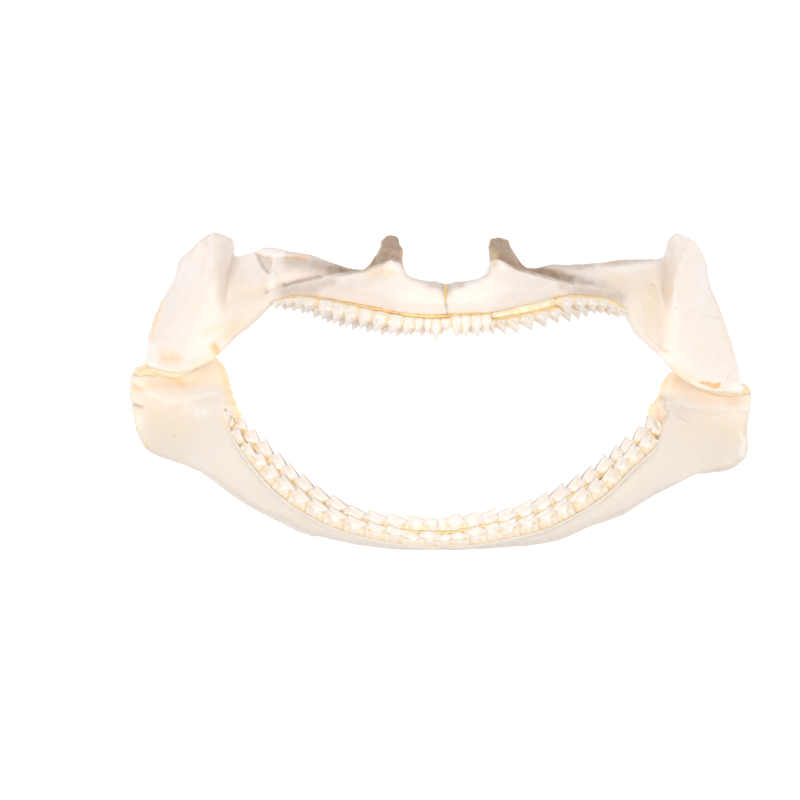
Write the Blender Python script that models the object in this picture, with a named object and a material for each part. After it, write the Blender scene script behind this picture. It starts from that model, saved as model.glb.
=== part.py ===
"""Jaw of a gulper shark, dried with the mouth wide open and lying on the backs of its wings.

The frame is the picture's: +X to the right, +Y towards the upper jaw, +Z out of the surface it
lies on, towards the camera. A pick is (column, row, height): a point of the reference picture in
pixels, and its height in millimetres above that surface. place() turns a pick into metres.
"""

import math

import bmesh
import bpy
import numpy as np
from mathutils import Vector

MM = 0.001

# Driving dimensions
JAW_SPAN = 201 * MM
CAMERA_HEIGHT = 1000 * MM
CARTILAGE_AT_SYMPHYSIS = 8 * MM
SHELF_AT_SYMPHYSIS = 5 * MM
CARTILAGE_AT_WING = 2.6 * MM
THINNEST = 2 * MM
TOOTH_THICKNESS = 1.1 * MM
TOOTH_TIP_THICKNESS = 0.5 * MM
SYMPHYSIS_GAP = 0.35 * MM

# Share of a half's length, from the symphysis, in which it thins down to the wing's thickness
UPPER_THINS_BY = 0.55
LOWER_THINS_BY = 0.75

# The picture: the columns of the outermost margins at the lying surface, its middle, the column
# of the seam between the halves, and the point of the lying surface that is the origin
MARGIN_COLUMNS = (129, 752)
PICTURE_MIDDLE = 400
SEAM_COLUMN = 445.5
ORIGIN_COLUMN = 440.93
ORIGIN_ROW = 388.4
PIXEL = JAW_SPAN / (MARGIN_COLUMNS[1] - MARGIN_COLUMNS[0])

# How many loft points stand in for each interval between sections and between guides
FINER_ALONG = 2
FINER_ACROSS = 2
FINER_TEETH = 4

# Edges sharper than this are kept crisp
CREASE_ANGLE = math.radians(50)

# Upper jaw sections from the symphysis to the outer margin of the wing. The guides of each run
# from the gum line over the labial face and the crest to the dorsal edge.
UPPER_LEFT = [
    [(444, 314, 76), (444, 303, 78), (444, 292, 77.5), (444, 287, 75), (444, 285, 72), (444, 284.5, 68)],
    [(430, 314.5, 76), (429, 301, 78), (428, 287, 77), (428, 282.5, 74), (429, 282, 71), (430, 282, 67)],
    [(414, 313.5, 75.5), (413, 299, 77.5), (411, 280, 75.8),
     (410, 278, 72), (411, 278, 69), (412, 278, 65)],
    [(406, 313, 75.3), (405, 296, 77.2), (403, 273, 75), (403, 271, 70.5), (403, 270, 66), (402, 269, 62)],
    [(400, 312, 75), (399, 293, 77), (397, 267, 74), (399, 264, 67), (399.5, 250, 60), (400, 239, 54)],
    [(389, 310, 73.5), (388, 290, 76), (386, 263, 72), (391, 262, 65), (393, 247, 57.5), (394, 235, 51)],
    [(374, 307, 71), (373, 288, 73.5), (371, 268, 69.5), (378, 264, 61.5), (382, 250, 56), (383, 241, 51)],
    [(356, 304, 67.5), (355.5, 288, 69.5), (355, 273, 65.5),
     (360, 270, 59), (364, 269, 55), (366, 268, 52)],
    [(335, 300.5, 62), (335, 289, 63.5), (335, 277, 60),
     (338, 272, 52.5), (340, 268, 48), (342, 265.5, 44.5)],
    [(308, 297.5, 53.5), (308, 291, 54.5), (308, 284, 52),
     (309, 276, 44), (310, 264, 38.5), (311, 255, 34.5)],
    [(284, 299, 45), (284.5, 295, 46), (285, 290.5, 44), (284, 280, 37), (283, 264, 31.5), (282, 250, 27)],
    [(266, 308, 38), (264, 303, 38), (262, 298, 37), (261, 283, 31.5), (262, 265, 26), (264, 248.5, 22)],
    [(249, 322, 32), (246, 311, 31), (244, 301, 29), (243, 285, 24.5), (243, 269, 19), (244, 254.5, 15)],
    [(234, 334, 26.5), (230, 319, 24.5), (226, 306, 20.5),
     (226, 291, 16), (230, 268, 11.5), (234.5, 255, 8.5)],
    [(226, 341, 23.5), (222, 325, 23.5), (221, 305, 22.5),
     (221.5, 290, 21.5), (227, 266, 17), (233, 241, 11)],
    [(218, 349, 22), (213, 330, 23), (212, 308, 23), (215, 286, 23), (217, 262, 18.5), (216, 233, 11.5)],
    [(203, 360, 21), (196, 340, 20.5), (193, 315, 19.5), (196, 290, 17), (200, 265, 13.5), (203, 238, 9)],
    [(178, 372, 18), (175, 350, 16), (174, 322, 13), (178, 296, 9), (184, 272, 7), (190, 250.5, 5.5)],
    [(145.5, 363, 12), (148, 342, 9), (154, 318, 6.5), (163, 300, 5), (176, 279, 4), (181, 259, 3.5)],
]
UPPER_RIGHT = [
    [(447, 314, 76), (447, 303, 78), (447, 292, 77.5), (447, 287, 75), (447, 285, 72), (447, 284.5, 68)],
    [(461, 314.5, 76), (462, 301, 78), (463, 287, 77), (463, 282.5, 74), (462, 282, 71), (461, 282, 67)],
    [(477, 314, 75.5), (478, 299, 77.5), (480, 280, 75.8), (480, 279, 72), (480, 279, 69), (479, 279, 65)],
    [(484.5, 313.5, 75.3), (485, 296, 77.2), (488, 275, 75),
     (488, 273, 70.5), (489, 272, 66), (489.5, 270, 62)],
    [(490, 313, 75), (491, 293, 77), (494, 269, 74), (491.5, 265, 67), (490.5, 252, 60), (489, 243, 54)],
    [(502, 311, 73.5), (503, 290, 76), (505, 266, 72), (500, 262, 65), (498, 249, 57.5), (499.5, 237, 51)],
    [(517, 307, 71), (518, 289, 73.5), (520, 270, 69.5), (514, 264, 61.5), (511, 254, 56), (508, 243, 51)],
    [(535, 303.5, 67.5), (536, 289, 69.5), (538, 275, 65.5),
     (532, 271, 59), (528, 268.5, 55), (524, 266.5, 52)],
    [(556, 299.5, 62), (557, 289, 63.5), (557, 280, 60),
     (553, 274, 52.5), (551, 269, 48), (549, 265, 44.5)],
    [(583, 300, 53.5), (583, 292, 54.5), (583, 284, 52),
     (583, 277, 44), (583, 269, 38.5), (583, 264, 34.5)],
    [(609, 305, 45), (608, 299, 46), (608, 292, 44), (609, 283, 37), (611, 270, 31.5), (612, 260, 27)],
    [(627, 311, 38), (629, 305, 38), (630, 299, 37), (631, 285, 31.5), (631, 270, 26), (631, 259, 22)],
    [(639, 332, 32), (643, 319, 31), (646, 304, 29), (648, 287, 24.5), (649, 271, 19), (648, 258.5, 15)],
    [(654, 346, 26.5), (659, 328, 24.5), (663, 309, 20.5),
     (665, 291, 16), (666, 268, 11.5), (665, 255, 8.5)],
    [(660, 353, 23.5), (664, 333, 23.5), (667, 310, 22.5),
     (668, 290, 21.5), (668, 266, 17), (668, 241, 11)],
    [(667, 362, 22), (672, 340, 23), (675, 314, 23), (676, 290, 23), (677, 264, 18.5), (675, 233, 11.5)],
    [(680, 374, 21), (686, 350, 20.5), (691, 322, 19.5), (690, 292, 17), (688, 265, 13.5), (687, 236, 9)],
    [(706, 389, 18), (709, 362, 16), (711, 332, 13), (707, 300, 9), (702, 272, 7), (699, 245, 5.5)],
    [(743, 390, 12), (738, 366, 9), (731, 340, 6.5), (719, 308, 5), (710, 287, 4), (707, 262, 3.5)],
]

# Lower jaw sections from the symphysis to the joint. The guides of each run from the dental lip
# over the labial face to the ventral margin.
LOWER_LEFT = [
    [(444, 546, 59), (444, 548.5, 57.5), (444, 549.5, 55), (444, 549.5, 51), (444, 548, 47)],
    [(410, 544.5, 58), (410, 547.5, 56.5), (410, 549, 53.5), (410, 548.5, 50), (410, 547, 46)],
    [(375, 538, 56), (375, 543, 54.5), (375, 546.5, 51), (375, 546, 47), (375, 544, 43)],
    [(340, 527, 51.5), (338, 534, 50), (336, 539.5, 46), (336, 539.5, 41.5), (337, 537.5, 37)],
    [(310, 513, 46.5), (306, 521, 45), (303, 528.5, 41), (302, 530.5, 36.5), (303, 529, 32)],
    [(283, 495, 41.5), (277, 504, 40), (271, 513.5, 36), (268, 516, 31), (268, 514.5, 27)],
    [(260, 470, 36.5), (252, 481, 35), (243, 494, 31), (238, 499, 26.5), (237, 498, 23)],
    [(241, 446, 31.5), (231, 459, 30), (220, 473, 26), (212, 479, 20), (210, 478, 16)],
    [(228, 428, 28), (216, 440, 26), (203, 455, 20), (194, 464.5, 12), (191, 468, 7)],
    [(221, 410, 25.5), (205, 421, 22), (189, 435, 16), (175, 450, 8), (166, 458.5, 4)],
    [(219.5, 396, 22), (200, 405, 18), (178, 418, 13), (158, 435, 7), (142, 446, 4)],
    [(217, 381, 18), (195, 392, 15), (170, 402, 12), (149, 411, 8), (136, 422, 5.5)],
    [(213, 369, 14.5), (193, 381, 12.5), (169, 389, 10), (147, 388, 7.5), (130, 392, 6)],
    [(206, 356, 11), (190, 367, 9.5), (169, 374, 8), (147, 367, 6), (131, 375, 5)],
]
LOWER_RIGHT = [
    [(447, 546, 59), (447, 548.5, 57.5), (447, 549.5, 55), (447, 549.5, 51), (447, 548, 47)],
    [(481, 543.5, 58), (481, 546.5, 56.5), (481, 548, 53.5), (481, 547.5, 50), (481, 546, 46)],
    [(516, 538, 56), (516, 542, 54.5), (516, 545.5, 51), (516, 545, 47), (516, 543, 43)],
    [(551, 528, 51.5), (553, 534, 50), (555, 539.5, 46), (555, 539, 41.5), (554, 537, 37)],
    [(582, 511, 46.5), (586, 519, 45), (589, 525.5, 41), (590, 526, 36.5), (589, 524, 32)],
    [(608, 495, 41.5), (614, 504, 40), (620, 512.5, 36), (623, 514, 31), (623, 512, 27)],
    [(631, 472, 36.5), (639, 482, 35), (648, 493, 31), (653, 495.5, 26.5), (654, 494, 23)],
    [(650, 450, 31.5), (660, 461, 30), (671, 474, 26), (680, 481.5, 20), (682, 480, 16)],
    [(661, 430, 28), (674, 442, 26), (688, 456, 20), (699, 469, 12), (702, 473, 7)],
    [(665, 413, 25.5), (682, 426, 22), (699, 441, 16), (716, 458, 8), (724, 470, 4)],
    [(668, 402, 22), (687, 412, 18), (708, 425, 13), (730, 443, 7), (746, 455, 4)],
    [(669, 394, 18), (690, 404, 15), (713, 415, 12), (737, 426, 8), (748, 430, 5.5)],
    [(670, 383, 14.5), (691, 396, 12.5), (715, 406, 10), (739, 408, 7.5), (752, 403, 6)],
    [(675, 370, 11), (694, 383, 9.5), (719, 394, 8), (740, 393, 6), (752, 391, 5)],
]

# How far, in millimetres, the back of each lower section flares into the mouth past its lip
LOWER_FLARE = [0, 0, 0, 0, 0, 0.5, 1.5, 3, 4.5, 5.2, 4, 2.6, 2, 0.5]

# Where a half rests: the first and last section and guide of its pad
UPPER_PAD = (17.5, 18, 3, 5)
LOWER_PAD = (9, 10, 3, 4)

# A tooth is a notch, a cusp and a shoulder. Each is where it stands in the tooth's width, how far
# it reaches from the base to the tip, and its share of the row's lean.
TOOTH_PARTS = ((0, 0.4, 0.3), (0.5, 1.0, 1.0), (0.8, 0.55, 0.3))
CUSP = 1

# A tooth row: the line of its bases, the line of its tips, how many teeth, and how far each
# cusp leans away from the symphysis as a share of a tooth's width
TOOTH_ROWS = {
    "lower_outer_teeth_left": dict(
        base=[(443, 543.5, 60.8), (402, 541, 60), (359, 533, 56.5),
              (318, 518, 50.8), (279, 492, 44), (238, 442, 34.5)],
        tips=[(441, 529, 62.5), (402, 527, 62), (360, 518.5, 58),
              (326, 505, 53), (292, 479, 46), (250, 432, 36.5)],
        count=14, lean=0.45),
    "lower_outer_teeth_right": dict(
        base=[(449, 543.5, 60.8), (489, 540, 60), (532, 532, 56.5),
              (574, 515, 50.8), (612, 489, 44), (653, 446, 34.5)],
        tips=[(451, 529, 62.5), (490, 525, 62), (531, 517, 58),
              (565, 502, 53), (599, 476, 46), (641, 436, 36.5)],
        count=14, lean=0.45),
    "lower_inner_teeth_left": dict(
        base=[(443, 535, 58), (402, 533, 57.2), (362, 525, 53.7),
              (326, 510, 48.5), (290, 485, 42), (245, 432, 32.4)],
        tips=[(441, 517, 60.5), (402, 515, 60), (366, 508.5, 57),
              (333, 494, 51), (303, 472, 44.5), (258, 421, 34)],
        count=14, lean=0.45),
    "lower_inner_teeth_right": dict(
        base=[(449, 535, 58), (489, 532, 57.2), (529, 524, 53.7),
              (566, 508, 48.5), (600, 483, 42), (646, 436, 32.4)],
        tips=[(451, 516, 60.5), (489, 511, 60), (527, 500, 57),
              (559, 485, 51), (589, 465, 44.5), (634, 425, 34)],
        count=14, lean=0.45),
    "upper_outer_teeth_left": dict(
        base=[(443, 316, 77.3), (412, 315.5, 76.5), (389, 312, 74.8),
              (356, 306, 68.6), (308, 299.5, 54.8), (274, 304, 42)],
        tips=[(443, 338, 77.3), (412, 337, 76.5), (388, 336, 74.8),
              (352, 330, 68.6), (306, 314.5, 54.8), (274, 315, 42)],
        count=16, lean=0.2),
    "upper_outer_teeth_chunk": dict(
        base=[(448, 316, 77.3), (461, 316.5, 77.3), (478, 316, 76.5), (493, 314.5, 75.6)],
        tips=[(449, 338, 77.3), (462, 337, 77.3), (478, 337, 76.5), (491, 335, 75.6)],
        count=4, lean=0.2),
    "upper_outer_teeth_right": dict(
        base=[(556, 301.5, 63.3), (583, 302, 54.8), (609, 307, 46.3), (626, 313.5, 39.5)],
        tips=[(556, 324, 63.3), (583, 318, 54.8), (609, 315, 46.3), (624, 321, 39.5)],
        count=7, lean=0.2),
    "upper_inner_teeth_left": dict(
        base=[(443, 317, 73.3), (412, 316.5, 72.5), (389, 313, 70.8),
              (356, 307, 65), (308, 300.5, 51.8), (278, 304.5, 40.5)],
        tips=[(443, 342, 73.3), (412, 341, 72.5), (388, 340, 70.8),
              (352, 333, 65), (306, 317, 51.8), (278, 317, 40.5)],
        count=15, lean=0.2),
    "upper_inner_teeth_right": dict(
        base=[(448, 317, 73.3), (479, 316.5, 72.5), (502, 314, 70.8),
              (535, 306.5, 65), (583, 303, 51.8), (622, 313.5, 38.5)],
        tips=[(448, 341, 73.3), (479, 340, 72.5), (503, 336, 70.8),
              (538, 329, 65), (585, 319, 51.8), (621, 324, 38.5)],
        count=14, lean=0.2),
}


def clear_scene():
    for thing in list(bpy.data.objects):
        bpy.data.objects.remove(thing, do_unlink=True)


def material(name, colour, roughness):
    made = bpy.data.materials.new(name)
    made.use_nodes = True
    shader = made.node_tree.nodes["Principled BSDF"]
    shader.inputs["Base Color"].default_value = (*colour, 1)
    shader.inputs["Roughness"].default_value = roughness
    shader.inputs["Metallic"].default_value = 0
    return made


def place(column, row, height):
    """A pick in metres: what stands nearer the camera is drawn larger, so it is scaled back."""
    pixel = PIXEL * (1 - height * MM / CAMERA_HEIGHT)
    x = (column - PICTURE_MIDDLE) * pixel - (ORIGIN_COLUMN - PICTURE_MIDDLE) * PIXEL
    y = (PICTURE_MIDDLE - row) * pixel - (PICTURE_MIDDLE - ORIGIN_ROW) * PIXEL
    return Vector((x, y, height * MM))


def smooth_line(points, finer):
    """A cubic through the points, with finer points to each interval. Its slopes weigh each side
    by how near the neighbour is, so close points don't make it overshoot."""
    points = [np.array(p) for p in points]
    steps = [max(np.linalg.norm(b - a), 1e-6) ** 0.5 for a, b in zip(points, points[1:])]
    slopes = []
    for i, point in enumerate(points):
        before = (point - points[i - 1]) / steps[i - 1] if i > 0 else None
        after = (points[i + 1] - point) / steps[i] if i < len(steps) else None
        if before is None:
            slopes.append(after)
        elif after is None:
            slopes.append(before)
        else:
            share = steps[i] / (steps[i - 1] + steps[i])
            slopes.append(before * share + after * (1 - share))
    line = []
    for i, step in enumerate(steps):
        for k in range(finer):
            t = k / finer
            near, far = points[i], points[i + 1]
            line.append(
                near * (1 - 3 * t**2 + 2 * t**3)
                + far * (3 * t**2 - 2 * t**3)
                + slopes[i] * step * (t - 2 * t**2 + t**3)
                + slopes[i + 1] * step * (t**3 - t**2)
            )
    line.append(points[-1])
    return line


def at_share(line, share):
    """The point at a share of the line's length."""
    lengths = [0.0]
    for a, b in zip(line, line[1:]):
        lengths.append(lengths[-1] + np.linalg.norm(b - a))
    wanted = share * lengths[-1]
    for i in range(len(line) - 1):
        if wanted <= lengths[i + 1] or i == len(line) - 2:
            part = (wanted - lengths[i]) / (lengths[i + 1] - lengths[i])
            return line[i] * (1 - part) + line[i + 1] * part


def fine_grid(sections):
    """Rows run along the jaw and columns across it."""
    placed = [[place(*pick) for pick in section] for section in sections]
    guides = [smooth_line(guide, FINER_ALONG) for guide in zip(*placed)]
    rows = [smooth_line(row, FINER_ACROSS) for row in zip(*guides)]
    return np.array(rows)


def grid_normals(grid, outward):
    """Unit normals of the grid, on the side that outward points to."""
    along = np.gradient(grid, axis=0)
    across = np.gradient(grid, axis=1)
    normals = np.cross(along, across)
    normals /= np.linalg.norm(normals, axis=2, keepdims=True)
    if (normals @ np.array(outward)).sum() < 0:
        normals = -normals
    return normals


def set_pad(front, back, pad):
    """Brings the back down to the lying surface over the pad, where the half rests, and halfway
    down around it."""
    first, last = int(pad[0] * FINER_ALONG), int(pad[1] * FINER_ALONG)
    left, right = int(pad[2] * FINER_ACROSS), int(pad[3] * FINER_ACROSS)
    back[first - 1:last + 2, left - 1:right + 2, 2] *= 0.5
    pad_area = (slice(first, last + 1), slice(left, right + 1))
    back[pad_area] = front[pad_area]
    back[pad_area + (2,)] = 0
    front[..., 2] = np.maximum(front[..., 2], THINNEST)
    back[..., 2] = np.maximum(back[..., 2], 0)


def upper_back(front):
    """Behind the upper jaw: a solid bar near the symphysis that thins to the wing's plate."""
    rows, columns = front.shape[:2]
    normals = grid_normals(front, (0, 0.3, 1))
    back = np.empty_like(front)
    for i in range(rows):
        away = min(i / (rows - 1) / UPPER_THINS_BY, 1)
        bar = CARTILAGE_AT_SYMPHYSIS * (1 - away) + CARTILAGE_AT_WING * away
        plate = SHELF_AT_SYMPHYSIS * (1 - away) + CARTILAGE_AT_WING * away
        shelf_end = front[i, -1] - normals[i, -1] * plate
        gum_end = front[i, 0] - np.array((0, 0, bar))
        for k in range(columns):
            share = k / (columns - 1)
            straight = gum_end * (1 - share) + shelf_end * share
            followed = front[i, k] - normals[i, k] * plate
            back[i, k] = straight * (1 - away) + followed * away
    return back


def lower_back(front):
    """Behind the lower jaw: a plate, thick at the symphysis and thin at the wing, whose inner
    edge flares into the mouth near the corner."""
    rows = front.shape[0]
    normals = grid_normals(front, (0, -0.6, 1))
    flares = smooth_line([(flare * MM,) for flare in LOWER_FLARE], FINER_ALONG)
    back = np.empty_like(front)
    for i in range(rows):
        away = min(i / (rows - 1) / LOWER_THINS_BY, 1)
        thickness = CARTILAGE_AT_SYMPHYSIS * (1 - away) + CARTILAGE_AT_WING * away
        back[i] = front[i] - normals[i] * thickness
        inward = front[i, 0] - front[i, 1]
        back[i, 0] += inward / np.linalg.norm(inward) * flares[i]
    return back


def keep_to_side(grid, side):
    """Holds a half on its own side (-1 left, 1 right) of the seam at the symphysis."""
    for point in grid.reshape(-1, 3):
        seam = place(SEAM_COLUMN, ORIGIN_ROW, point[2] / MM).x
        point[0] = seam + side * max(side * (point[0] - seam), SYMPHYSIS_GAP / 2)


def closed_loft(name, front, back, made_of, home):
    """One closed body between a front and a back grid."""
    rows, columns = front.shape[:2]
    shape = bmesh.new()
    faces = [[[shape.verts.new(p) for p in row] for row in side] for side in (front, back)]
    ahead, behind = faces
    for i in range(rows - 1):
        for k in range(columns - 1):
            shape.faces.new((ahead[i][k], ahead[i + 1][k], ahead[i + 1][k + 1], ahead[i][k + 1]))
            shape.faces.new((behind[i][k], behind[i][k + 1], behind[i + 1][k + 1], behind[i + 1][k]))
    rim = [(i, 0) for i in range(rows)]
    rim += [(rows - 1, k) for k in range(1, columns)]
    rim += [(i, columns - 1) for i in range(rows - 2, -1, -1)]
    rim += [(0, k) for k in range(columns - 2, 0, -1)]
    for (i, k), (j, m) in zip(rim, rim[1:] + rim[:1]):
        shape.faces.new((ahead[i][k], behind[i][k], behind[j][m], ahead[j][m]))
    bmesh.ops.recalc_face_normals(shape, faces=shape.faces)
    return finish(name, shape, made_of, home)


def finish(name, shape, made_of, home):
    """Makes an object of a mesh whose faces all point out, and puts its origin at its middle."""
    bmesh.ops.triangulate(shape, faces=shape.faces)
    if shape.calc_volume(signed=True) < 0:
        bmesh.ops.reverse_faces(shape, faces=shape.faces)
    middle = sum((v.co for v in shape.verts), Vector()) / len(shape.verts)
    bmesh.ops.translate(shape, verts=shape.verts, vec=-middle)
    mesh = bpy.data.meshes.new(name)
    shape.to_mesh(mesh)
    shape.free()
    mesh.materials.append(made_of)
    mesh.shade_smooth()
    mesh.set_sharp_from_angle(angle=CREASE_ANGLE)
    thing = bpy.data.objects.new(name, mesh)
    thing.location = middle
    home.objects.link(thing)
    return thing


def cartilage(name, sections, back_of, pad, made_of, home):
    front = fine_grid(sections)
    back = back_of(front)
    set_pad(front, back, pad)
    side = math.copysign(1, front[-1, 0, 0])
    keep_to_side(front, side)
    keep_to_side(back, side)
    return closed_loft(name, front, back, made_of, home)


def tooth_row(name, base, tips, count, lean, made_of, home):
    """A serrated band: each part of a tooth is a section of four points, front and back of the
    base and of the cutting edge."""
    base_line = smooth_line([place(*pick) for pick in base], FINER_TEETH)
    tip_line = smooth_line([place(*pick) for pick in tips], FINER_TEETH)
    forward = np.array((0, 0, 1))
    sections = []
    for step in range(count * len(TOOTH_PARTS) + 1):
        tooth, part = divmod(step, len(TOOTH_PARTS))
        inside, reach, leaning = TOOTH_PARTS[part]
        share = min((tooth + inside) / count, 1)
        foot = at_share(base_line, share)
        edge = at_share(tip_line, min(share + lean * leaning / count, 1))
        top = foot * (1 - reach) + edge * reach
        half = (TOOTH_TIP_THICKNESS if part == CUSP else TOOTH_THICKNESS) / 2
        sections.append([
            foot - forward * TOOTH_THICKNESS / 2,
            foot + forward * TOOTH_THICKNESS / 2,
            top + forward * half,
            top - forward * half,
        ])
    shape = bmesh.new()
    loops = [[shape.verts.new(p) for p in section] for section in sections]
    for near, far in zip(loops, loops[1:]):
        for k in range(4):
            m = (k + 1) % 4
            shape.faces.new((near[k], near[m], far[m], far[k]))
    shape.faces.new(loops[0])
    shape.faces.new(list(reversed(loops[-1])))
    bmesh.ops.recalc_face_normals(shape, faces=shape.faces)
    return finish(name, shape, made_of, home)


def build():
    clear_scene()
    home = bpy.data.collections.new("gulper_shark_jaw")
    bpy.context.scene.collection.children.link(home)
    ivory = material("cartilage_upper", (0.84, 0.72, 0.54), 0.45)
    beige = material("cartilage_lower", (0.80, 0.68, 0.54), 0.45)
    enamel = material("tooth_enamel", (0.90, 0.86, 0.80), 0.2)
    cartilage("palatoquadrate_left", UPPER_LEFT, upper_back, UPPER_PAD, ivory, home)
    cartilage("palatoquadrate_right", UPPER_RIGHT, upper_back, UPPER_PAD, ivory, home)
    cartilage("meckel_cartilage_left", LOWER_LEFT, lower_back, LOWER_PAD, beige, home)
    cartilage("meckel_cartilage_right", LOWER_RIGHT, lower_back, LOWER_PAD, beige, home)
    for name, row in TOOTH_ROWS.items():
        tooth_row(name, made_of=enamel, home=home, **row)


build()
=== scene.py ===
"""Looks of a dried gulper shark jaw, lying on the backs of its wings with the mouth wide open.

A pick is (column, row, height): a point of the reference picture in pixels, and its height in
millimetres above the surface the jaw lies on. place() turns a pick into metres, and seen_at()
gives the column and row where a point is seen. Heights of relief are in millimetres and widths
of relief and colour marks are in pixels of the picture.
"""

import math

import bpy
import numpy as np
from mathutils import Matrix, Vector, noise

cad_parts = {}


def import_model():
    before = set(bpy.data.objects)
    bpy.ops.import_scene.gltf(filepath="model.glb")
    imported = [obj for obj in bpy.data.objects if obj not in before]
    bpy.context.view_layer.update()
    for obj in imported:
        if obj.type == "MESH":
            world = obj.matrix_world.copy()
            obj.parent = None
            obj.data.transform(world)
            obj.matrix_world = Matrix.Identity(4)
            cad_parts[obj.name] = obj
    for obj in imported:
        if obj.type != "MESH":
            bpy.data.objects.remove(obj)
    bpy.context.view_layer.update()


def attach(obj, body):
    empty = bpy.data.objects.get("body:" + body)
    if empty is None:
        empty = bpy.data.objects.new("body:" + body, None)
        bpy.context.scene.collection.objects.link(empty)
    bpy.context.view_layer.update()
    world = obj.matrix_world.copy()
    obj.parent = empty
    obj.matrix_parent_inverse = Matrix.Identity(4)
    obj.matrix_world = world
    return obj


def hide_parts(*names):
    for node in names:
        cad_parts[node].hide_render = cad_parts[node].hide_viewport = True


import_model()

MM = 0.001

# Driving dimensions, as in the solids
JAW_SPAN = 201 * MM
CAMERA_HEIGHT = 1000 * MM
CARTILAGE_AT_SYMPHYSIS = 8 * MM
SHELF_AT_SYMPHYSIS = 5 * MM
CARTILAGE_AT_WING = 2.6 * MM
THINNEST = 2 * MM
SYMPHYSIS_GAP = 0.35 * MM
UPPER_THINS_BY = 0.55
LOWER_THINS_BY = 0.75

# The picture: the columns of the outermost margins at the lying surface, its middle, the column
# of the seam between the halves, and the point of the lying surface that is the origin
MARGIN_COLUMNS = (129, 752)
PICTURE_MIDDLE = 400
SEAM_COLUMN = 445.5
ORIGIN_COLUMN = 440.93
ORIGIN_ROW = 388.4
PIXEL = JAW_SPAN / (MARGIN_COLUMNS[1] - MARGIN_COLUMNS[0])
CAMERA_X = -(ORIGIN_COLUMN - PICTURE_MIDDLE) * PIXEL
CAMERA_Y = -(PICTURE_MIDDLE - ORIGIN_ROW) * PIXEL
SENSOR = 36

# Loft points for each interval between picks: first as in the solids, then for the looks
FINER_SOLID = 2
FINER_LOOKS = 5
VOXEL = 0.42 * MM
SOFTENED_BEFORE_CARVING = 7
SOFTENED_AFTER_CARVING = 1

# How far each half reaches past the seam before its rim is rounded, so that the halves meet, and
# what the rounding takes off every surface
SEAM_REACH = 1.1 * MM
ROUNDED_OFF = 0.2 * MM

# Unevenness of the cartilage: how wide its lumps are and how far they rise, in millimetres
UNEVENNESS = [(14, 0.35), (5, 0.14), (1.8, 0.05)]

# How relief and colour marks wander off their lines: the size of the waves in millimetres, and how
# far they reach in pixels
RELIEF_WANDERS = (3, 1.2)
MARKS_WANDER = (2.5, 1.6)

# Relief and marks fade where the surface turns away from the camera: how fast, and how far round
# each of them reaches
FADES_BY = 3
RELIEF_REACHES = 0.5
MARKS_REACH = 1

# Which way the labial side of each jaw looks on the whole
UPPER_OUTWARD = (0, 0.3, 1)
LOWER_OUTWARD = (0, -0.6, 1)

# Upper jaw sections from the symphysis to the outer margin of the wing. The guides of each run
# from the gum line over the labial face and the crest to the dorsal edge. Both halves share the
# guides' heights, and each has its own columns and rows. The valley beside the wing's fold is up to
# 3 mm shallower than in the solids, and the margin at the left mouth corner differs by up to 2 mm.
UPPER_HEIGHTS = [
    (76, 78, 77.5, 75, 72, 68),
    (76, 78, 77, 74, 71, 67),
    (75.5, 77.5, 75.8, 72, 69, 65),
    (75.3, 77.2, 75, 70.5, 66, 62),
    (75, 77, 74, 67, 60, 54),
    (73.5, 76, 72, 65, 57.5, 51),
    (71, 73.5, 69.5, 61.5, 56, 51),
    (67.5, 69.5, 65.5, 59, 55, 52),
    (62, 63.5, 60, 52.5, 48, 44.5),
    (53.5, 54.5, 52, 44, 38.5, 34.5),
    (45, 46, 44, 37, 31.5, 27),
    (38, 38, 37, 31.5, 26, 22),
    (32, 31, 29, 24.5, 19, 15),
    (26.5, 24.5, 22, 19, 14.5, 9.5),
    (23.5, 23.5, 22.5, 21.5, 17, 11),
    (22, 23, 23, 23, 18.5, 11.5),
    (21, 20.5, 19.5, 17, 13.5, 9),
    (18, 16, 13, 9, 7, 5.5),
    (12, 9, 6.5, 5, 4, 3.5),
]
UPPER_LEFT = [
    [(444, 314), (444, 303), (444, 292), (444, 287), (444, 285), (444, 284.5)],
    [(430, 314.5), (429, 301), (428, 287), (428, 282.5), (429, 282), (430, 282)],
    [(414, 313.5), (413, 299), (411, 280), (410, 278), (411, 278), (412, 278)],
    [(406, 313), (405, 296), (403, 273), (403, 271), (403, 270), (402, 269)],
    [(400, 312), (399, 293), (397, 267), (399, 264), (399.5, 250), (400, 239)],
    [(389, 310), (388, 290), (386, 263), (391, 262), (393, 247), (394, 235)],
    [(374, 307), (373, 288), (371, 268), (378, 264), (382, 250), (383, 241)],
    [(356, 304), (355.5, 288), (355, 273), (360, 270), (364, 269), (366, 268)],
    [(335, 300.5), (335, 289), (335, 277), (338, 272), (340, 268), (342, 265.5)],
    [(308, 297.5), (308, 291), (308, 284), (309, 276), (310, 264), (311, 255)],
    [(284, 299), (284.5, 295), (285, 290.5), (284, 280), (283, 264), (282, 250)],
    [(266, 308), (264, 303), (262, 298), (261, 283), (262, 265), (264, 248.5)],
    [(249, 322), (246, 311), (244, 301), (243, 285), (243, 269), (244, 254.5)],
    [(234, 334), (230, 319), (226, 306), (226, 291), (230, 268), (234.5, 255)],
    [(228, 343), (222, 325), (221, 305), (221.5, 290), (227, 266), (233, 241)],
    [(221, 352.5), (214, 331), (212, 308), (215, 286), (217, 262), (216, 233)],
    [(206, 363), (197, 341), (193, 315), (196, 290), (200, 265), (203, 238)],
    [(178, 372), (175, 350), (174, 322), (178, 296), (184, 272), (190, 250.5)],
    [(145.5, 363), (148, 342), (154, 318), (163, 300), (176, 279), (181, 259)],
]
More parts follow.
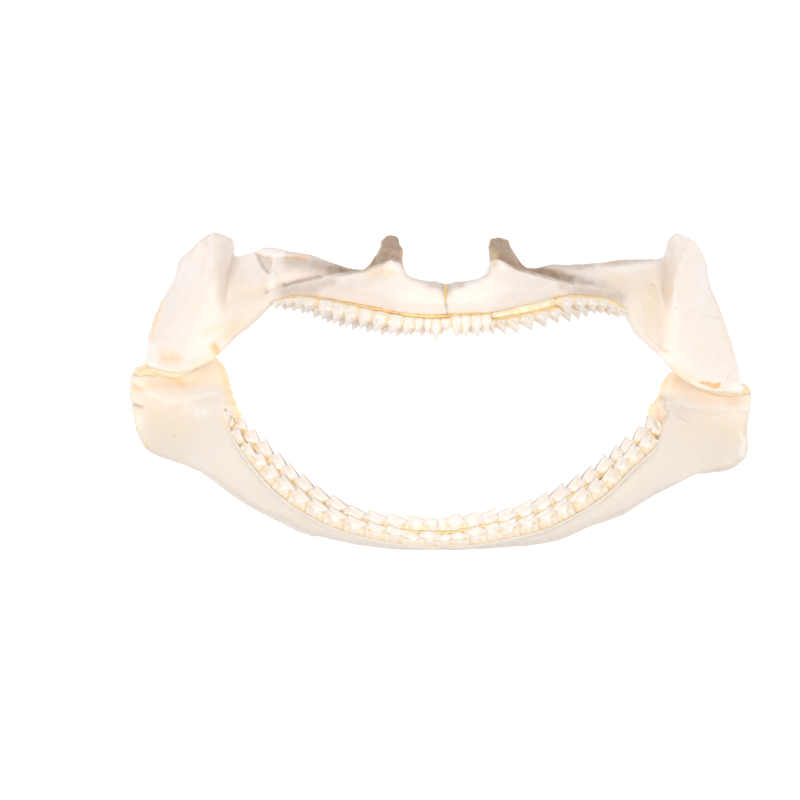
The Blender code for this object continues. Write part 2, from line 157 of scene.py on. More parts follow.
UPPER_RIGHT = [
    [(447, 314), (447, 303), (447, 292), (447, 287), (447, 285), (447, 284.5)],
    [(461, 314.5), (462, 301), (463, 287), (463, 282.5), (462, 282), (461, 282)],
    [(477, 314), (478, 299), (480, 280), (480, 279), (480, 279), (479, 279)],
    [(484.5, 313.5), (485, 296), (488, 275), (488, 273), (489, 272), (489.5, 270)],
    [(490, 313), (491, 293), (494, 269), (491.5, 265), (490.5, 252), (489, 243)],
    [(502, 311), (503, 290), (505, 266), (500, 262), (498, 249), (499.5, 237)],
    [(517, 307), (518, 289), (520, 270), (514, 264), (511, 254), (508, 243)],
    [(535, 303.5), (536, 289), (538, 275), (532, 271), (528, 268.5), (524, 266.5)],
    [(556, 299.5), (557, 289), (557, 280), (553, 274), (551, 269), (549, 265)],
    [(583, 300), (583, 292), (583, 284), (583, 277), (583, 269), (583, 264)],
    [(609, 305), (608, 299), (608, 292), (609, 283), (611, 270), (612, 260)],
    [(627, 311), (629, 305), (630, 299), (631, 285), (631, 270), (631, 259)],
    [(639, 332), (643, 319), (646, 304), (648, 287), (649, 271), (648, 258.5)],
    [(654, 346), (659, 328), (663, 309), (664, 291), (665, 268), (665, 255)],
    [(660, 353), (664, 333), (667, 310), (668, 290), (668, 266), (668, 241)],
    [(667, 362), (672, 340), (675, 314), (676, 290), (677, 264), (675, 233)],
    [(680, 374), (686, 350), (691, 322), (690, 292), (688, 265), (687, 236)],
    [(706, 389), (709, 362), (711, 332), (707, 300), (702, 272), (699, 245)],
    [(743, 390), (738, 366), (731, 340), (719, 308), (710, 287), (707, 262)],
]

# Lower jaw sections from the symphysis to the joint, in the same form. The guides of each run from
# the dental lip over the labial face to the ventral margin. The left half's margins at the mouth
# corner and at the wing's lower corner differ from the solids by up to 2 mm.
LOWER_HEIGHTS = [
    (59, 57.5, 55, 51, 47),
    (58, 56.5, 53.5, 50, 46),
    (56, 54.5, 51, 47, 43),
    (51.5, 50, 46, 41.5, 37),
    (46.5, 45, 41, 36.5, 32),
    (41.5, 40, 36, 31, 27),
    (36.5, 35, 31, 26.5, 23),
    (31.5, 30, 26, 20, 16),
    (28, 26, 20, 12, 7),
    (25.5, 22, 16, 8, 4),
    (22, 18, 13, 7, 4),
    (18, 15, 12, 8, 5.5),
    (14.5, 12.5, 10, 7.5, 6),
    (11, 9.5, 8, 6, 5),
]
LOWER_LEFT = [
    [(444, 546), (444, 548.5), (444, 549.5), (444, 549.5), (444, 548)],
    [(410, 544.5), (410, 547.5), (410, 549), (410, 548.5), (410, 547)],
    [(375, 538), (375, 543), (375, 546.5), (375, 546), (375, 544)],
    [(340, 527), (338, 534), (336, 539.5), (336, 539.5), (337, 537.5)],
    [(310, 513), (306, 521), (303, 528.5), (302, 530.5), (303, 529)],
    [(283, 495), (277, 504), (271, 513.5), (268, 516), (268, 514.5)],
    [(260, 470), (252, 481), (243, 494), (238, 499), (237, 498)],
    [(241, 446), (231, 459), (220, 473), (212, 479), (210, 478)],
    [(228, 428), (216, 440), (203, 455), (194, 464.5), (191, 468)],
    [(221, 410), (205, 421), (189, 435), (174, 450), (165, 458.3)],
    [(219.5, 396), (200, 405), (178, 418), (158, 436), (147, 449.8)],
    [(219.5, 380), (196, 392), (170, 402), (149, 413), (137, 430)],
    [(217, 367.5), (195, 380), (169, 389), (147, 388), (130, 392)],
    [(212, 355), (192, 366), (169, 374), (147, 367), (131, 375)],
]
LOWER_RIGHT = [
    [(447, 546), (447, 548.5), (447, 549.5), (447, 549.5), (447, 548)],
    [(481, 543.5), (481, 546.5), (481, 548), (481, 547.5), (481, 546)],
    [(516, 538), (516, 542), (516, 545.5), (516, 545), (516, 543)],
    [(551, 528), (553, 534), (555, 539.5), (555, 539), (554, 537)],
    [(582, 511), (586, 519), (589, 525.5), (590, 526), (589, 524)],
    [(608, 495), (614, 504), (620, 512.5), (623, 514), (623, 512)],
    [(631, 472), (639, 482), (648, 493), (653, 495.5), (654, 494)],
    [(650, 450), (660, 461), (671, 474), (680, 481.5), (682, 480)],
    [(661, 430), (674, 442), (688, 456), (699, 469), (702, 473)],
    [(665, 413), (682, 426), (699, 441), (716, 458), (724, 470)],
    [(668, 402), (687, 412), (708, 425), (730, 443), (746, 455)],
    [(669, 394), (690, 404), (713, 415), (737, 426), (748, 430)],
    [(670, 383), (691, 396), (715, 406), (739, 408), (752, 403)],
    [(675, 370), (694, 383), (719, 394), (740, 393), (752, 391)],
]
# How far the inner edge of each lower section flares into the mouth, in millimetres
LOWER_FLARE = [0, 0, 0, 0, 0, 0.5, 1.5, 3, 4.5, 5.2, 4, 2.6, 2, 0.5]
# The pads that the wings rest on: their first and last section, and their first and last guide
UPPER_PAD = (17.5, 18, 3, 5)
LOWER_PAD = (9, 10, 3, 4)

# Relief of each half's labial side: height, width, and the line it follows. A negative height is
# a groove, a tear or a pit.
RELIEF = {
    "upper_left": [
        (0.45, 3.2, [(214, 236), (214, 249), (216, 265), (216, 279), (209, 292)]),
        (0.6, 4, [(204, 247), (192, 257), (185, 267)]),
        (-0.4, 3, [(209, 243), (206, 262), (205, 280)]),
        (0.6, 7, [(252, 273), (240, 282), (228, 291)]),
        (-0.6, 7, [(248, 294), (262, 293)]),
        (-0.6, 1.6, [(284, 282), (288, 286)]),
        (0.3, 4, [(212, 357), (196.5, 365), (175, 371), (160, 369), (148, 363)]),
        (-0.4, 5, [(160, 357), (176, 358)]),
        (0.6, 2.2, [(265, 296), (278, 291), (304, 284), (329, 278.5), (348, 276), (368, 273),
                    (380, 268), (393, 263), (403, 271)]),
        (-2.0, 3.2, [(268, 289), (282, 282), (306, 275), (330, 270), (348, 268), (362, 267),
                     (380, 259), (392, 255)]),
        (0.9, 4, [(384, 243), (388, 238)]),
        (0.9, 2.5, [(402, 247), (402, 254)]),
        (0.3, 3, [(231, 240), (231, 248)]),
        (0.6, 3, [(436, 284)]),
        (-0.2, 1.0, [(445.5, 284), (445.5, 298)]),
        (-0.2, 4, [(204, 333), (214, 329), (223, 325)]),
        (-0.8, 3, [(214, 347), (219, 355)]),
        (0.4, 2.5, [(182, 262), (176, 281), (165, 299), (156, 317), (150, 339)]),
        (-0.4, 1.8, [(169, 301), (161, 320), (156, 340)]),
        (0.7, 3.5, [(393, 264), (386, 270)]),
    ],
    "upper_right": [
        (0.5, 2.5, [(687, 243), (682, 254), (678, 265), (675, 281), (674, 297)]),
        (-0.35, 2, [(649, 337), (659, 345), (667, 353)]),
        (0.3, 2, [(651, 333), (661, 341), (670, 352)]),
        (0.3, 4, [(668, 361), (676, 369), (690, 380), (708, 387), (722, 392), (735, 394)]),
        (0.6, 2.2, [(488, 271), (497, 264), (510, 269), (525, 272), (541, 277), (556, 282),
                    (580, 286), (612, 293)]),
        (-2.0, 3.2, [(500, 257), (514, 262), (530, 267), (545, 271), (558, 275), (570, 277)]),
        (-1.0, 3.2, [(576, 278), (590, 281)]),
        (1.0, 3, [(492, 241)]),
        (1.3, 3.5, [(508, 241)]),
        (0.6, 3, [(455, 284)]),
        (-0.2, 1.0, [(445.5, 284), (445.5, 298)]),
        (-0.3, 1.5, [(680, 361), (688, 364)]),
        (0.7, 3, [(735, 384), (740, 389)]),
        (-0.3, 1.2, [(721, 384), (728, 379), (733, 370)]),
        (-0.25, 1.3, [(690, 311), (700, 314), (710, 315), (718, 318)]),
        (-0.2, 1.3, [(716, 316), (722, 330), (727, 345)]),
        (0.4, 2.5, [(597, 266), (615, 270), (640, 266), (660, 264)]),
        (0.5, 6, [(640, 290), (650, 296), (657, 306)]),
        (-0.4, 1.2, [(653, 285)]),
        (-0.35, 1.2, [(677, 308)]),
        (0.7, 3, [(498, 264), (503, 268)]),
    ],
    "lower_left": [
        (-1.2, 1.4, [(134, 405), (138, 406), (142, 407)]),
        (0.4, 2.5, [(137, 414), (139, 430)]),
        (-0.5, 6, [(136, 385), (155, 383), (175, 383), (195, 383), (213, 378)]),
        (0.35, 3, [(136, 380), (143, 388), (153, 395), (166, 400), (181, 401), (196, 397), (214, 392)]),
        (0.7, 5, [(292, 522), (305, 529), (313, 533)]),
        (-0.6, 3, [(200, 470)]),
        (0.5, 6, [(188, 407), (204, 411)]),
        (-0.8, 2, [(225, 410)]),
        (-0.3, 1.2, [(174, 436)]),
        (0.3, 4, [(160, 454), (176, 459), (192, 464)]),
        (0.5, 2, [(222, 396), (223, 405), (227, 418)]),
    ],
    "lower_right": [
        (0.8, 2.5, [(666, 404), (666, 412), (665, 421)]),
        (-0.8, 3, [(659, 411), (660, 421)]),
        (1.0, 4, [(659, 400)]),
        (-0.8, 3, [(650, 409)]),
        (-0.5, 6, [(672, 388), (690, 390), (712, 396), (735, 401)]),
        (0.35, 3, [(669, 403), (680, 410), (695, 409), (712, 412), (728, 409), (746, 410)]),
        (-0.15, 1.6, [(677, 415), (683, 420), (690, 424)]),
        (0.5, 2.5, [(742, 433), (744, 445), (741, 456)]),
        (-0.5, 1.6, [(588, 507), (590, 514), (591, 522)]),
        (0.4, 4, [(736, 462), (720, 467), (702, 470)]),
    ],
}

# Steep-walled patches of each half, some of them painted shade: height, colour mark, its strength, and the
# outline
PATCHES = {
    "upper_left": [
        # Painted shade in a torn hollow and in a pit, and on the orbital process, which is also greyish and
        # brownish itself
        (-1.2, "painted_shade_brown", 0.32, [(256, 254), (264, 257), (271.5, 256), (270, 274), (262, 266)]),
        (0.5, "pale", 0.9, [(269, 272), (273, 271), (277, 278), (275, 285), (270, 283)]),
        (0.5, "pale", 0.9, [(263, 250), (275, 248.5), (286, 251), (284, 256), (271, 257)]),
        (-0.5, "gold", 0.3, [(286, 257), (297, 257), (308, 259), (308, 260), (296, 259), (287, 259)]),
        (-0.6, "painted_shade_brown", 0.5, [(283, 283), (287, 286), (285, 288)]),
        (0, "painted_shade_brown", 0.95, [(368, 269), (381, 263.5), (392, 259), (401, 262), (403, 267), (403, 250),
                            (401, 235), (384, 235), (380, 251), (371, 261), (362, 267)]),
    ],
    "upper_right": [
        (-1.0, "gold", 0.75, [(699, 382), (706, 383.5), (712, 384), (719, 384), (721, 383.5),
                              (720, 386.5), (714, 387), (707, 384.5)]),
        # Painted shade on the orbital process, which is also greyish and brownish itself
        (0, "painted_shade_brown", 0.95, [(488, 261), (497, 258), (505, 262.5), (517, 269), (527, 269), (521, 262),
                            (513, 250), (508, 236), (488, 238)]),
    ],
}

# Colour marks of each half, painted shade among them: kind, strength, width, and the line they follow
MARKS = {
    "upper_left": [
        ("gold", 1.0, 1.7, [(271, 303), (291, 298), (311, 298), (329, 302), (352, 306), (373, 310),
                            (393, 313), (419, 317), (441, 316)]),
        ("gold", 0.6, 1.2, [(287, 257.5), (297, 256.5), (308, 259)]),
        ("gold", 0.9, 1.6, [(445.5, 284), (445.5, 297)]),
        ("gold", 0.6, 0.8, [(445.5, 297), (445.5, 308)]),
        ("gold", 0.5, 3, [(215, 348), (219, 355)]),
        ("gold", 0.5, 1.4, [(403, 250), (400, 256)]),
        ("amber", 0.22, 18, [(240, 292), (248, 312)]),
        ("amber", 0.45, 8, [(248, 292), (262, 294)]),
        ("amber", 0.5, 10, [(240, 321), (226, 337)]),
        ("amber", 0.35, 5, [(204, 333), (214, 329), (223, 325)]),
        ("amber", 0.6, 7, [(162, 357), (176, 358)]),
        ("amber", 0.9, 5, [(214, 347), (219, 356)]),
        ("amber", 0.6, 2, [(163, 300), (157, 318), (152, 340)]),
        ("amber", 0.35, 1.6, [(214, 236), (214, 249), (216, 265), (216, 279)]),
        ("amber", 0.5, 6, [(372, 272), (390, 272)]),
        # Painted shade: behind the crest, on the left end of the ramus, beside the top of the seam and
        # faintly on the front of the ramus
        ("trough_shade", 0.95, 6.5, [(342, 270), (352, 269), (366, 266), (378, 261)]),
        ("trough_shade", 0.8, 7, [(330, 269), (342, 270)]),
        ("trough_shade", 0.6, 8, [(314, 265), (330, 267)]),
        ("trough_shade", 0.45, 8, [(290, 262), (314, 265)]),
        ("trough_shade", 0.65, 3, [(284, 285), (300, 281.5), (320, 277)]),
        ("painted_shade_brown", 0.5, 8, [(284, 293), (300, 291), (314, 289)]),
        ("painted_shade_brown", 0.4, 6, [(314, 287), (332, 282)]),
        ("painted_shade_brown", 0.4, 4, [(430, 284.5), (441, 286), (444, 293)]),
        ("painted_shade_brown", 0.1, 14, [(352, 287), (392, 286)]),
        ("painted_shade_brown", 0.16, 9, [(328, 291), (350, 288)]),
        # Partly painted shade on the flange's strip and the wing tip's edge, where they turn away, partly
        # greyish tissue
        ("grey_tissue_and_shade", 0.12, 5, [(226, 243), (224, 256), (220, 270)]),
        ("grey_tissue_and_shade", 0.25, 3, [(216, 234), (232, 239)]),
        ("pale", 0.9, 6, [(150, 350), (154, 360)]),
        ("amber", 0.4, 5, [(212, 358), (196, 367), (175, 375), (155, 372), (146, 366)]),
        # Painted shade along the margins, where the surface turns away
        ("grey_tissue_and_shade", 0.45, 1.8, [(264, 248), (291, 252), (320, 257), (340, 264), (362, 268)]),
        ("grey_tissue_and_shade", 0.3, 1.6, [(234, 239), (215, 232), (197, 243), (181, 258), (178, 271), (162, 300),
                            (148, 339), (133, 370)]),
        ("grey_tissue_and_shade", 0.35, 1.6, [(401, 254), (399, 264), (407, 276), (419, 281), (436, 282)]),
    ],
    "upper_right": [
        ("gold", 0.9, 1.6, [(450, 315.5), (475, 314.5), (494, 313.5)]),
        ("gold", 0.5, 4, [(494, 315), (520, 310), (545, 303), (557, 299)]),
        ("gold", 0.9, 1.7, [(557, 299), (570, 297.5), (583, 299), (609, 305), (625, 310)]),
        ("gold", 0.9, 1.6, [(445.5, 284), (445.5, 297)]),
        ("gold", 0.6, 0.8, [(445.5, 297), (445.5, 308)]),
        ("amber", 0.45, 18, [(648, 292), (652, 318)]),
        ("amber", 0.35, 12, [(612, 281), (630, 286)]),
        # Amber on the concave side of the fold: partly painted shade, partly its own amber
        ("amber", 0.3, 4, [(668, 262), (669, 305)]),
        ("amber", 0.35, 9, [(644, 322), (656, 338)]),
        ("amber", 0.4, 3, [(650, 338), (660, 346), (668, 353)]),
        ("amber", 0.2, 1.6, [(687, 242), (682, 254), (678, 265), (675, 281)]),
        ("amber", 0.2, 1.4, [(690, 311), (710, 315), (718, 318)]),
        ("amber", 0.2, 1.6, [(718, 315), (724, 330), (728, 345)]),
        ("amber", 0.5, 4, [(493, 254), (495, 264)]),
        # Painted shade: behind the crest, along the plate's top margin, on the right end of the ramus, beside
        # the top of the seam and faintly on the front of the ramus
        ("trough_shade", 1.0, 6.5, [(516, 266), (530, 269), (545, 272), (560, 276)]),
        ("trough_shade", 0.85, 6.5, [(560, 276), (572, 280)]),
        ("trough_shade", 0.6, 6, [(572, 280), (586, 283)]),
        ("trough_shade", 0.4, 6, [(586, 283), (602, 287)]),
        ("trough_shade", 0.5, 4, [(548, 265), (562, 266), (580, 266), (600, 264), (625, 261), (650, 259)]),
        ("painted_shade_brown", 0.35, 6, [(562, 287), (574, 291)]),
        ("painted_shade_brown", 0.5, 7.5, [(576, 291), (590, 292), (606, 295), (620, 298)]),
        ("painted_shade_brown", 0.4, 4, [(461, 284.5), (450, 286), (447, 293)]),
        ("painted_shade_brown", 0.1, 12, [(505, 291), (545, 290)]),
        # Partly painted shade on the flange's strip, which turns away, partly greyish tissue
        ("grey_tissue_and_shade", 0.1, 4.5, [(672, 246), (672, 262), (672, 280), (672, 296)]),
        ("pale", 0.8, 3, [(597, 265), (615, 270), (640, 266), (660, 263)]),
        ("pale", 0.4, 4, [(735, 384), (741, 391), (739, 397)]),
        ("amber", 0.4, 5, [(672, 367), (690, 381), (708, 389), (724, 394)]),
        # Painted shade along the margins, where the surface turns away
        ("grey_tissue_and_shade", 0.3, 1.6, [(668, 239), (674, 232), (686, 235), (699, 244), (707, 258), (710, 289),
                            (725, 322), (737, 364), (752, 393)]),
        ("grey_tissue_and_shade", 0.35, 1.6, [(455, 282), (474, 281), (489, 274), (491, 258)]),
        ("dark", 0.35, 1.1, [(653, 285)]),
        ("dark", 0.25, 1.1, [(677, 308)]),
    ],
    "lower_left": [
        ("amber", 0.5, 9, [(136, 386), (155, 382), (175, 380), (195, 380), (214, 374)]),
        ("gold", 0.5, 4, [(173, 378), (182, 383)]),
        ("gold", 0.5, 2, [(136, 387), (142, 390)]),
        ("amber", 0.8, 6, [(219, 362), (224, 376), (230, 391), (236, 408), (242, 420)]),
        ("amber", 0.8, 3, [(143, 441), (146, 446)]),
        ("amber", 0.4, 1.5, [(222, 414), (228, 430), (241, 449), (254, 468), (267, 481), (279, 494),
                             (318, 521), (359, 537), (402, 545), (444, 547)]),
        ("amber", 0.3, 25, [(150, 405), (178, 425)]),
        # Painted shade along the ventral margin, where the surface turns away
        ("grey_tissue_and_shade", 0.25, 3, [(136, 429), (145, 448), (171, 460), (196, 468), (217, 480), (254, 507),
                           (292, 522), (311, 533), (337, 540), (372, 547), (401, 549), (440, 549)]),
        ("pale", 0.5, 3.5, [(136, 380), (143, 388), (153, 395), (166, 400), (181, 401), (214, 392)]),
        ("pale", 0.8, 7, [(188, 407), (204, 411)]),
        ("pale", 0.5, 3, [(138, 416), (140, 430), (144, 443)]),
        ("grey_tissue_and_shade", 0.1, 5, [(176, 407), (205, 402)]),
        ("dark", 0.25, 1.1, [(174, 436)]),
        ("dark", 0.5, 1.4, [(225, 410)]),
        ("dark", 0.4, 1.1, [(134, 405), (141, 407)]),
    ],
    "lower_right": [
        ("amber", 0.5, 8, [(672, 380), (692, 384), (712, 392), (738, 399)]),
        ("gold", 0.5, 4, [(708, 388), (720, 393)]),
        ("gold", 0.4, 3, [(659, 411), (660, 421)]),
        ("amber", 0.7, 6, [(668, 372), (659, 392), (649, 415)]),
        ("amber", 0.35, 1.5, [(663, 421), (654, 447), (641, 466), (628, 479), (605, 498),
                              (577, 514), (540, 531), (501, 541), (447, 547)]),
        ("amber", 0.3, 25, [(712, 425), (735, 430)]),
        # Painted shade along the ventral margin, where the surface turns away
        ("grey_tissue_and_shade", 0.25, 3, [(747, 426), (746, 454), (733, 467), (707, 472), (682, 481), (656, 493),
                           (631, 509), (593, 524), (568, 535), (542, 542), (504, 546), (450, 549)]),
        ("grey_tissue_and_shade", 0.2, 3, [(669, 404), (680, 411), (695, 410), (712, 413), (728, 410), (746, 411)]),
        ("grey_tissue_and_shade", 0.6, 2.5, [(666, 404), (666, 412), (665, 421)]),
        ("pale", 0.7, 3, [(669, 402), (695, 407), (728, 407), (746, 408)]),
        ("pale", 0.8, 3, [(742, 433), (744, 445), (741, 456)]),
        ("pale", 0.7, 2, [(588, 507), (590, 514), (591, 522)]),
        ("dark", 0.15, 1.0, [(677, 415), (683, 420), (690, 424)]),
    ],
}
# The crest of each upper half. Marks along the hollow behind it are painted shade, drawn in the brownish
# colour of painted shade, and end at the crest.
CREST = {
    "upper_left": [(265, 295), (278, 289.5), (304, 283), (329, 278), (348, 275.5), (368, 272),
                   (380, 267), (393, 261), (403, 271)],
    "upper_right": [(488, 270), (497, 263), (510, 267), (517, 270.5), (544, 278.5), (558, 283),
                    (581, 287), (615, 294)],
}
# How wide a patch's wall is, in pixels
PATCH_EDGE = 1.0

# The looks of each kind of mark: its colour, and the noise that breaks it up, as the size of the
# grains in millimetres, the detail, and the ramp from the noise to the share of the mark left
MARK_LOOKS = {
    # Painted shade: a brownish colour for the shade behind the crest, in hollows and on turned-away faces
    "painted_shade_brown": ((0.41, 0.275, 0.175), 2, 4, (0.3, 0.6, 0.85, 1)),
    "amber": ((0.90, 0.69, 0.39), 2.4, 4, (0.25, 0.6, 0.45, 1)),
    "gold": ((0.84, 0.52, 0.14), 1.5, 3, (0.25, 0.6, 0.6, 1)),
    # Greyish: partly painted shade along margins and strips that turn away, partly greyish tissue
    "grey_tissue_and_shade": ((0.56, 0.43, 0.33), 1.0, 3, (0.35, 0.6, 0.4, 1)),
    "pale": ((0.93, 0.90, 0.86), 1.6, 4, (0.3, 0.6, 0.3, 0.9)),
}
DARK_MARK = (0.30, 0.19, 0.09)


def place(column, row, height):
    """A pick in metres: what stands nearer the camera is drawn larger, so it is scaled back."""
    pixel = PIXEL * (1 - height * MM / CAMERA_HEIGHT)
    x = (column - PICTURE_MIDDLE) * pixel + CAMERA_X
    y = (PICTURE_MIDDLE - row) * pixel + CAMERA_Y
    return np.array((x, y, height * MM))


def seen_at(points):
    """The column and row of the picture at which each point is seen."""
    pixel = PIXEL * (1 - points[:, 2] / CAMERA_HEIGHT)
    column = PICTURE_MIDDLE + (points[:, 0] - CAMERA_X) / pixel
    row = PICTURE_MIDDLE - (points[:, 1] - CAMERA_Y) / pixel
    return np.stack((column, row), axis=1)


def smooth_line(points, finer):
    """A cubic through the points, with finer points to each interval. Its slopes weigh each side
    by how near the neighbour is, so close points don't make it overshoot."""
    points = [np.array(p, float) for p in points]
    steps = [max(np.linalg.norm(b - a), 1e-6) ** 0.5 for a, b in zip(points, points[1:])]
    slopes = []
    for i, point in enumerate(points):
        before = (point - points[i - 1]) / steps[i - 1] if i > 0 else None
        after = (points[i + 1] - point) / steps[i] if i < len(steps) else None
        if before is None:
            slopes.append(after)
        elif after is None:
            slopes.append(before)
        else:
            share = steps[i] / (steps[i - 1] + steps[i])
            slopes.append(before * share + after * (1 - share))
    line = []
    for i, step in enumerate(steps):
        for k in range(finer):
            t = k / finer
            near, far = points[i], points[i + 1]
            line.append(
                near * (1 - 3 * t**2 + 2 * t**3)
                + far * (3 * t**2 - 2 * t**3)
                + slopes[i] * step * (t - 2 * t**2 + t**3)
                + slopes[i + 1] * step * (t**3 - t**2)
            )
    line.append(points[-1])
    return line


def refined(grid, finer):
    """The grid with finer points to each interval, both ways."""
    along = [smooth_line(grid[:, k], finer) for k in range(grid.shape[1])]
    return np.array([smooth_line(row, finer) for row in zip(*along)])


def grid_normals(grid, outward):
    """Unit normals of the grid, on the side that outward points to."""
    along = np.gradient(grid, axis=0)
    across = np.gradient(grid, axis=1)
    normals = np.cross(along, across)
    normals /= np.linalg.norm(normals, axis=2, keepdims=True)
    if (normals @ np.array(outward)).sum() < 0:
        normals = -normals
    return normals


def set_pad(front, back, pad):
    """Brings the back down to the lying surface over the pad, where the half rests, and halfway
    down around it."""
    first, last = int(pad[0] * FINER_SOLID), int(pad[1] * FINER_SOLID)
    left, right = int(pad[2] * FINER_SOLID), int(pad[3] * FINER_SOLID)
    back[first - 1:last + 2, left - 1:right + 2, 2] *= 0.5
    pad_area = (slice(first, last + 1), slice(left, right + 1))
    back[pad_area] = front[pad_area]
    back[pad_area + (2,)] = 0
    front[..., 2] = np.maximum(front[..., 2], THINNEST)
    back[..., 2] = np.maximum(back[..., 2], 0)


def upper_back(front):
    """Behind the upper jaw: a solid bar near the symphysis that thins to the wing's plate."""
    rows, columns = front.shape[:2]
    normals = grid_normals(front, UPPER_OUTWARD)
    back = np.empty_like(front)
    for i in range(rows):
        away = min(i / (rows - 1) / UPPER_THINS_BY, 1)
        bar = CARTILAGE_AT_SYMPHYSIS * (1 - away) + CARTILAGE_AT_WING * away
        plate = SHELF_AT_SYMPHYSIS * (1 - away) + CARTILAGE_AT_WING * away
        shelf_end = front[i, -1] - normals[i, -1] * plate
        gum_end = front[i, 0] - np.array((0, 0, bar))
        for k in range(columns):
            share = k / (columns - 1)
            straight = gum_end * (1 - share) + shelf_end * share
            followed = front[i, k] - normals[i, k] * plate
            back[i, k] = straight * (1 - away) + followed * away
    return back


def lower_back(front):
    """Behind the lower jaw: a plate, thick at the symphysis and thin at the wing, whose inner
    edge flares into the mouth near the corner."""
    rows = front.shape[0]
    normals = grid_normals(front, LOWER_OUTWARD)
    flares = smooth_line([(flare * MM,) for flare in LOWER_FLARE], FINER_SOLID)
    back = np.empty_like(front)
    for i in range(rows):
        away = min(i / (rows - 1) / LOWER_THINS_BY, 1)
        thickness = CARTILAGE_AT_SYMPHYSIS * (1 - away) + CARTILAGE_AT_WING * away
        back[i] = front[i] - normals[i] * thickness
        inward = front[i, 0] - front[i, 1]
        back[i, 0] += inward / np.linalg.norm(inward) * flares[i]
    return back


def keep_to_side(grid, side):
    """Holds a half on its own side (-1 left, 1 right) of the seam at the symphysis."""
    for point in grid.reshape(-1, 3):
        seam = place(SEAM_COLUMN, ORIGIN_ROW, point[2] / MM)[0]
        point[0] = seam + side * max(side * (point[0] - seam), SYMPHYSIS_GAP / 2)


def mesh_object(name, points, faces):
    """A new smooth shaded object with this mesh."""
    mesh = bpy.data.meshes.new(name)
    mesh.from_pydata([tuple(p) for p in points], [], faces)
    mesh.validate()
    mesh.shade_smooth()
    thing = bpy.data.objects.new(name, mesh)
    bpy.context.scene.collection.objects.link(thing)
    return thing


def grid_faces(rows, columns, start=0, turned=False, round_columns=False):
    """The quads of a grid whose points are numbered row by row from start."""
    faces = []
    last = columns if round_columns else columns - 1
    for i in range(rows - 1):
        for k in range(last):
            m = (k + 1) % columns
            quad = [start + i * columns + k, start + (i + 1) * columns + k,
                    start + (i + 1) * columns + m, start + i * columns + m]
            faces.append(quad[::-1] if turned else quad)
    return faces


def closed_loft(name, front, back):
    """One closed body between a front and a back grid."""
    rows, columns = front.shape[:2]
    count = rows * columns
    points = np.concatenate((front.reshape(-1, 3), back.reshape(-1, 3)))
    faces = grid_faces(rows, columns) + grid_faces(rows, columns, count, turned=True)
    rim = [(i, 0) for i in range(rows)]
    rim += [(rows - 1, k) for k in range(1, columns)]
    rim += [(i, columns - 1) for i in range(rows - 2, -1, -1)]
    rim += [(0, k) for k in range(columns - 2, 0, -1)]
    for (i, k), (j, m) in zip(rim, rim[1:] + rim[:1]):
        near, far = i * columns + k, j * columns + m
        faces.append([near, near + count, far + count, far])
    return mesh_object(name, points, faces)


def remeshed(thing, voxel):
    """Rounds the object's rims and joins what overlaps in it."""
    modifier = thing.modifiers.new("Remesh", "REMESH")
    modifier.mode = "VOXEL"
    modifier.voxel_size = voxel
    modifier.use_smooth_shade = True
    depsgraph = bpy.context.evaluated_depsgraph_get()
    made = bpy.data.meshes.new_from_object(thing.evaluated_get(depsgraph))
    thing.modifiers.clear()
    thing.data = made
    return thing


def get_points(mesh):
    """The places of the mesh's points, one row for each."""
    points = np.zeros(len(mesh.vertices) * 3)
    mesh.vertices.foreach_get("co", points)
    return points.reshape(-1, 3)


def get_normals(mesh):
    """The unit normals at the mesh's points, one row for each."""
    normals = np.zeros(len(mesh.vertices) * 3)
    mesh.vertex_normals.foreach_get("vector", normals)
    return normals.reshape(-1, 3)


def set_points(mesh, points):
    """Moves the mesh's points to these places."""
    mesh.vertices.foreach_set("co", points.ravel())
    mesh.update()


def soften(mesh, times, share=0.5):
    """Moves each point towards the mean of its neighbours."""
    edges = np.zeros(len(mesh.edges) * 2, int)
    mesh.edges.foreach_get("vertices", edges)
    a, b = edges.reshape(-1, 2).T
    points = get_points(mesh)
    count = np.bincount(a, minlength=len(points)) + np.bincount(b, minlength=len(points))
    for _ in range(times):
        total = np.zeros_like(points)
        np.add.at(total, a, points[b])
        np.add.at(total, b, points[a])
        points += (total / count[:, None] - points) * share
    set_points(mesh, points)


def distance_to(line, spots):
    """How far each spot is from the line, in pixels."""
    line = np.array(line, float)
    if len(line) == 1:
        return np.linalg.norm(spots - line[0], axis=1)
    nearest = np.full(len(spots), np.inf)
    for a, b in zip(line, line[1:]):
        step = b - a
        share = np.clip((spots - a) @ step / (step @ step), 0, 1)
        gap = np.linalg.norm(spots - a - share[:, None] * step, axis=1)
        nearest = np.minimum(nearest, gap)
    return nearest


def inside_share(outline, spots):
    """1 for spots inside the outline, falling steeply to 0 outside it."""
    x, y = spots.T
    closed = outline + outline[:1]
    inside = np.zeros(len(spots), bool)
    for (ax, ay), (bx, by) in zip(closed, closed[1:]):
        if ay == by:
            continue
        crosses = (ay > y) != (by > y)
        inside ^= crosses & (x < ax + (y - ay) * (bx - ax) / (by - ay))
    return np.where(inside, 1, band(closed, PATCH_EDGE, spots))


def lumps(points, size, seed):
    """Smooth noise between -1 and 1 at each point, whose lumps are about size metres across."""
    offset = Vector((seed * 7.3, seed * 3.1, seed * 5.7))
    return np.array([noise.noise(Vector(p / size) + offset) for p in points])


def labial_share(mesh, reaches):
    """1 where the surface faces the camera, falling to 0 where it turns away."""
    return np.clip(get_normals(mesh)[:, 2] * FADES_BY + reaches, 0, 1)


def wandering_spots(points, wanders, seed):
    """Where the points are seen, shifted to and fro, so that what is drawn there looks grown."""
    size, reach = wanders
    shift = np.stack([lumps(points, size * MM, seed + k) for k in range(2)], axis=1)
    return seen_at(points) + shift * reach


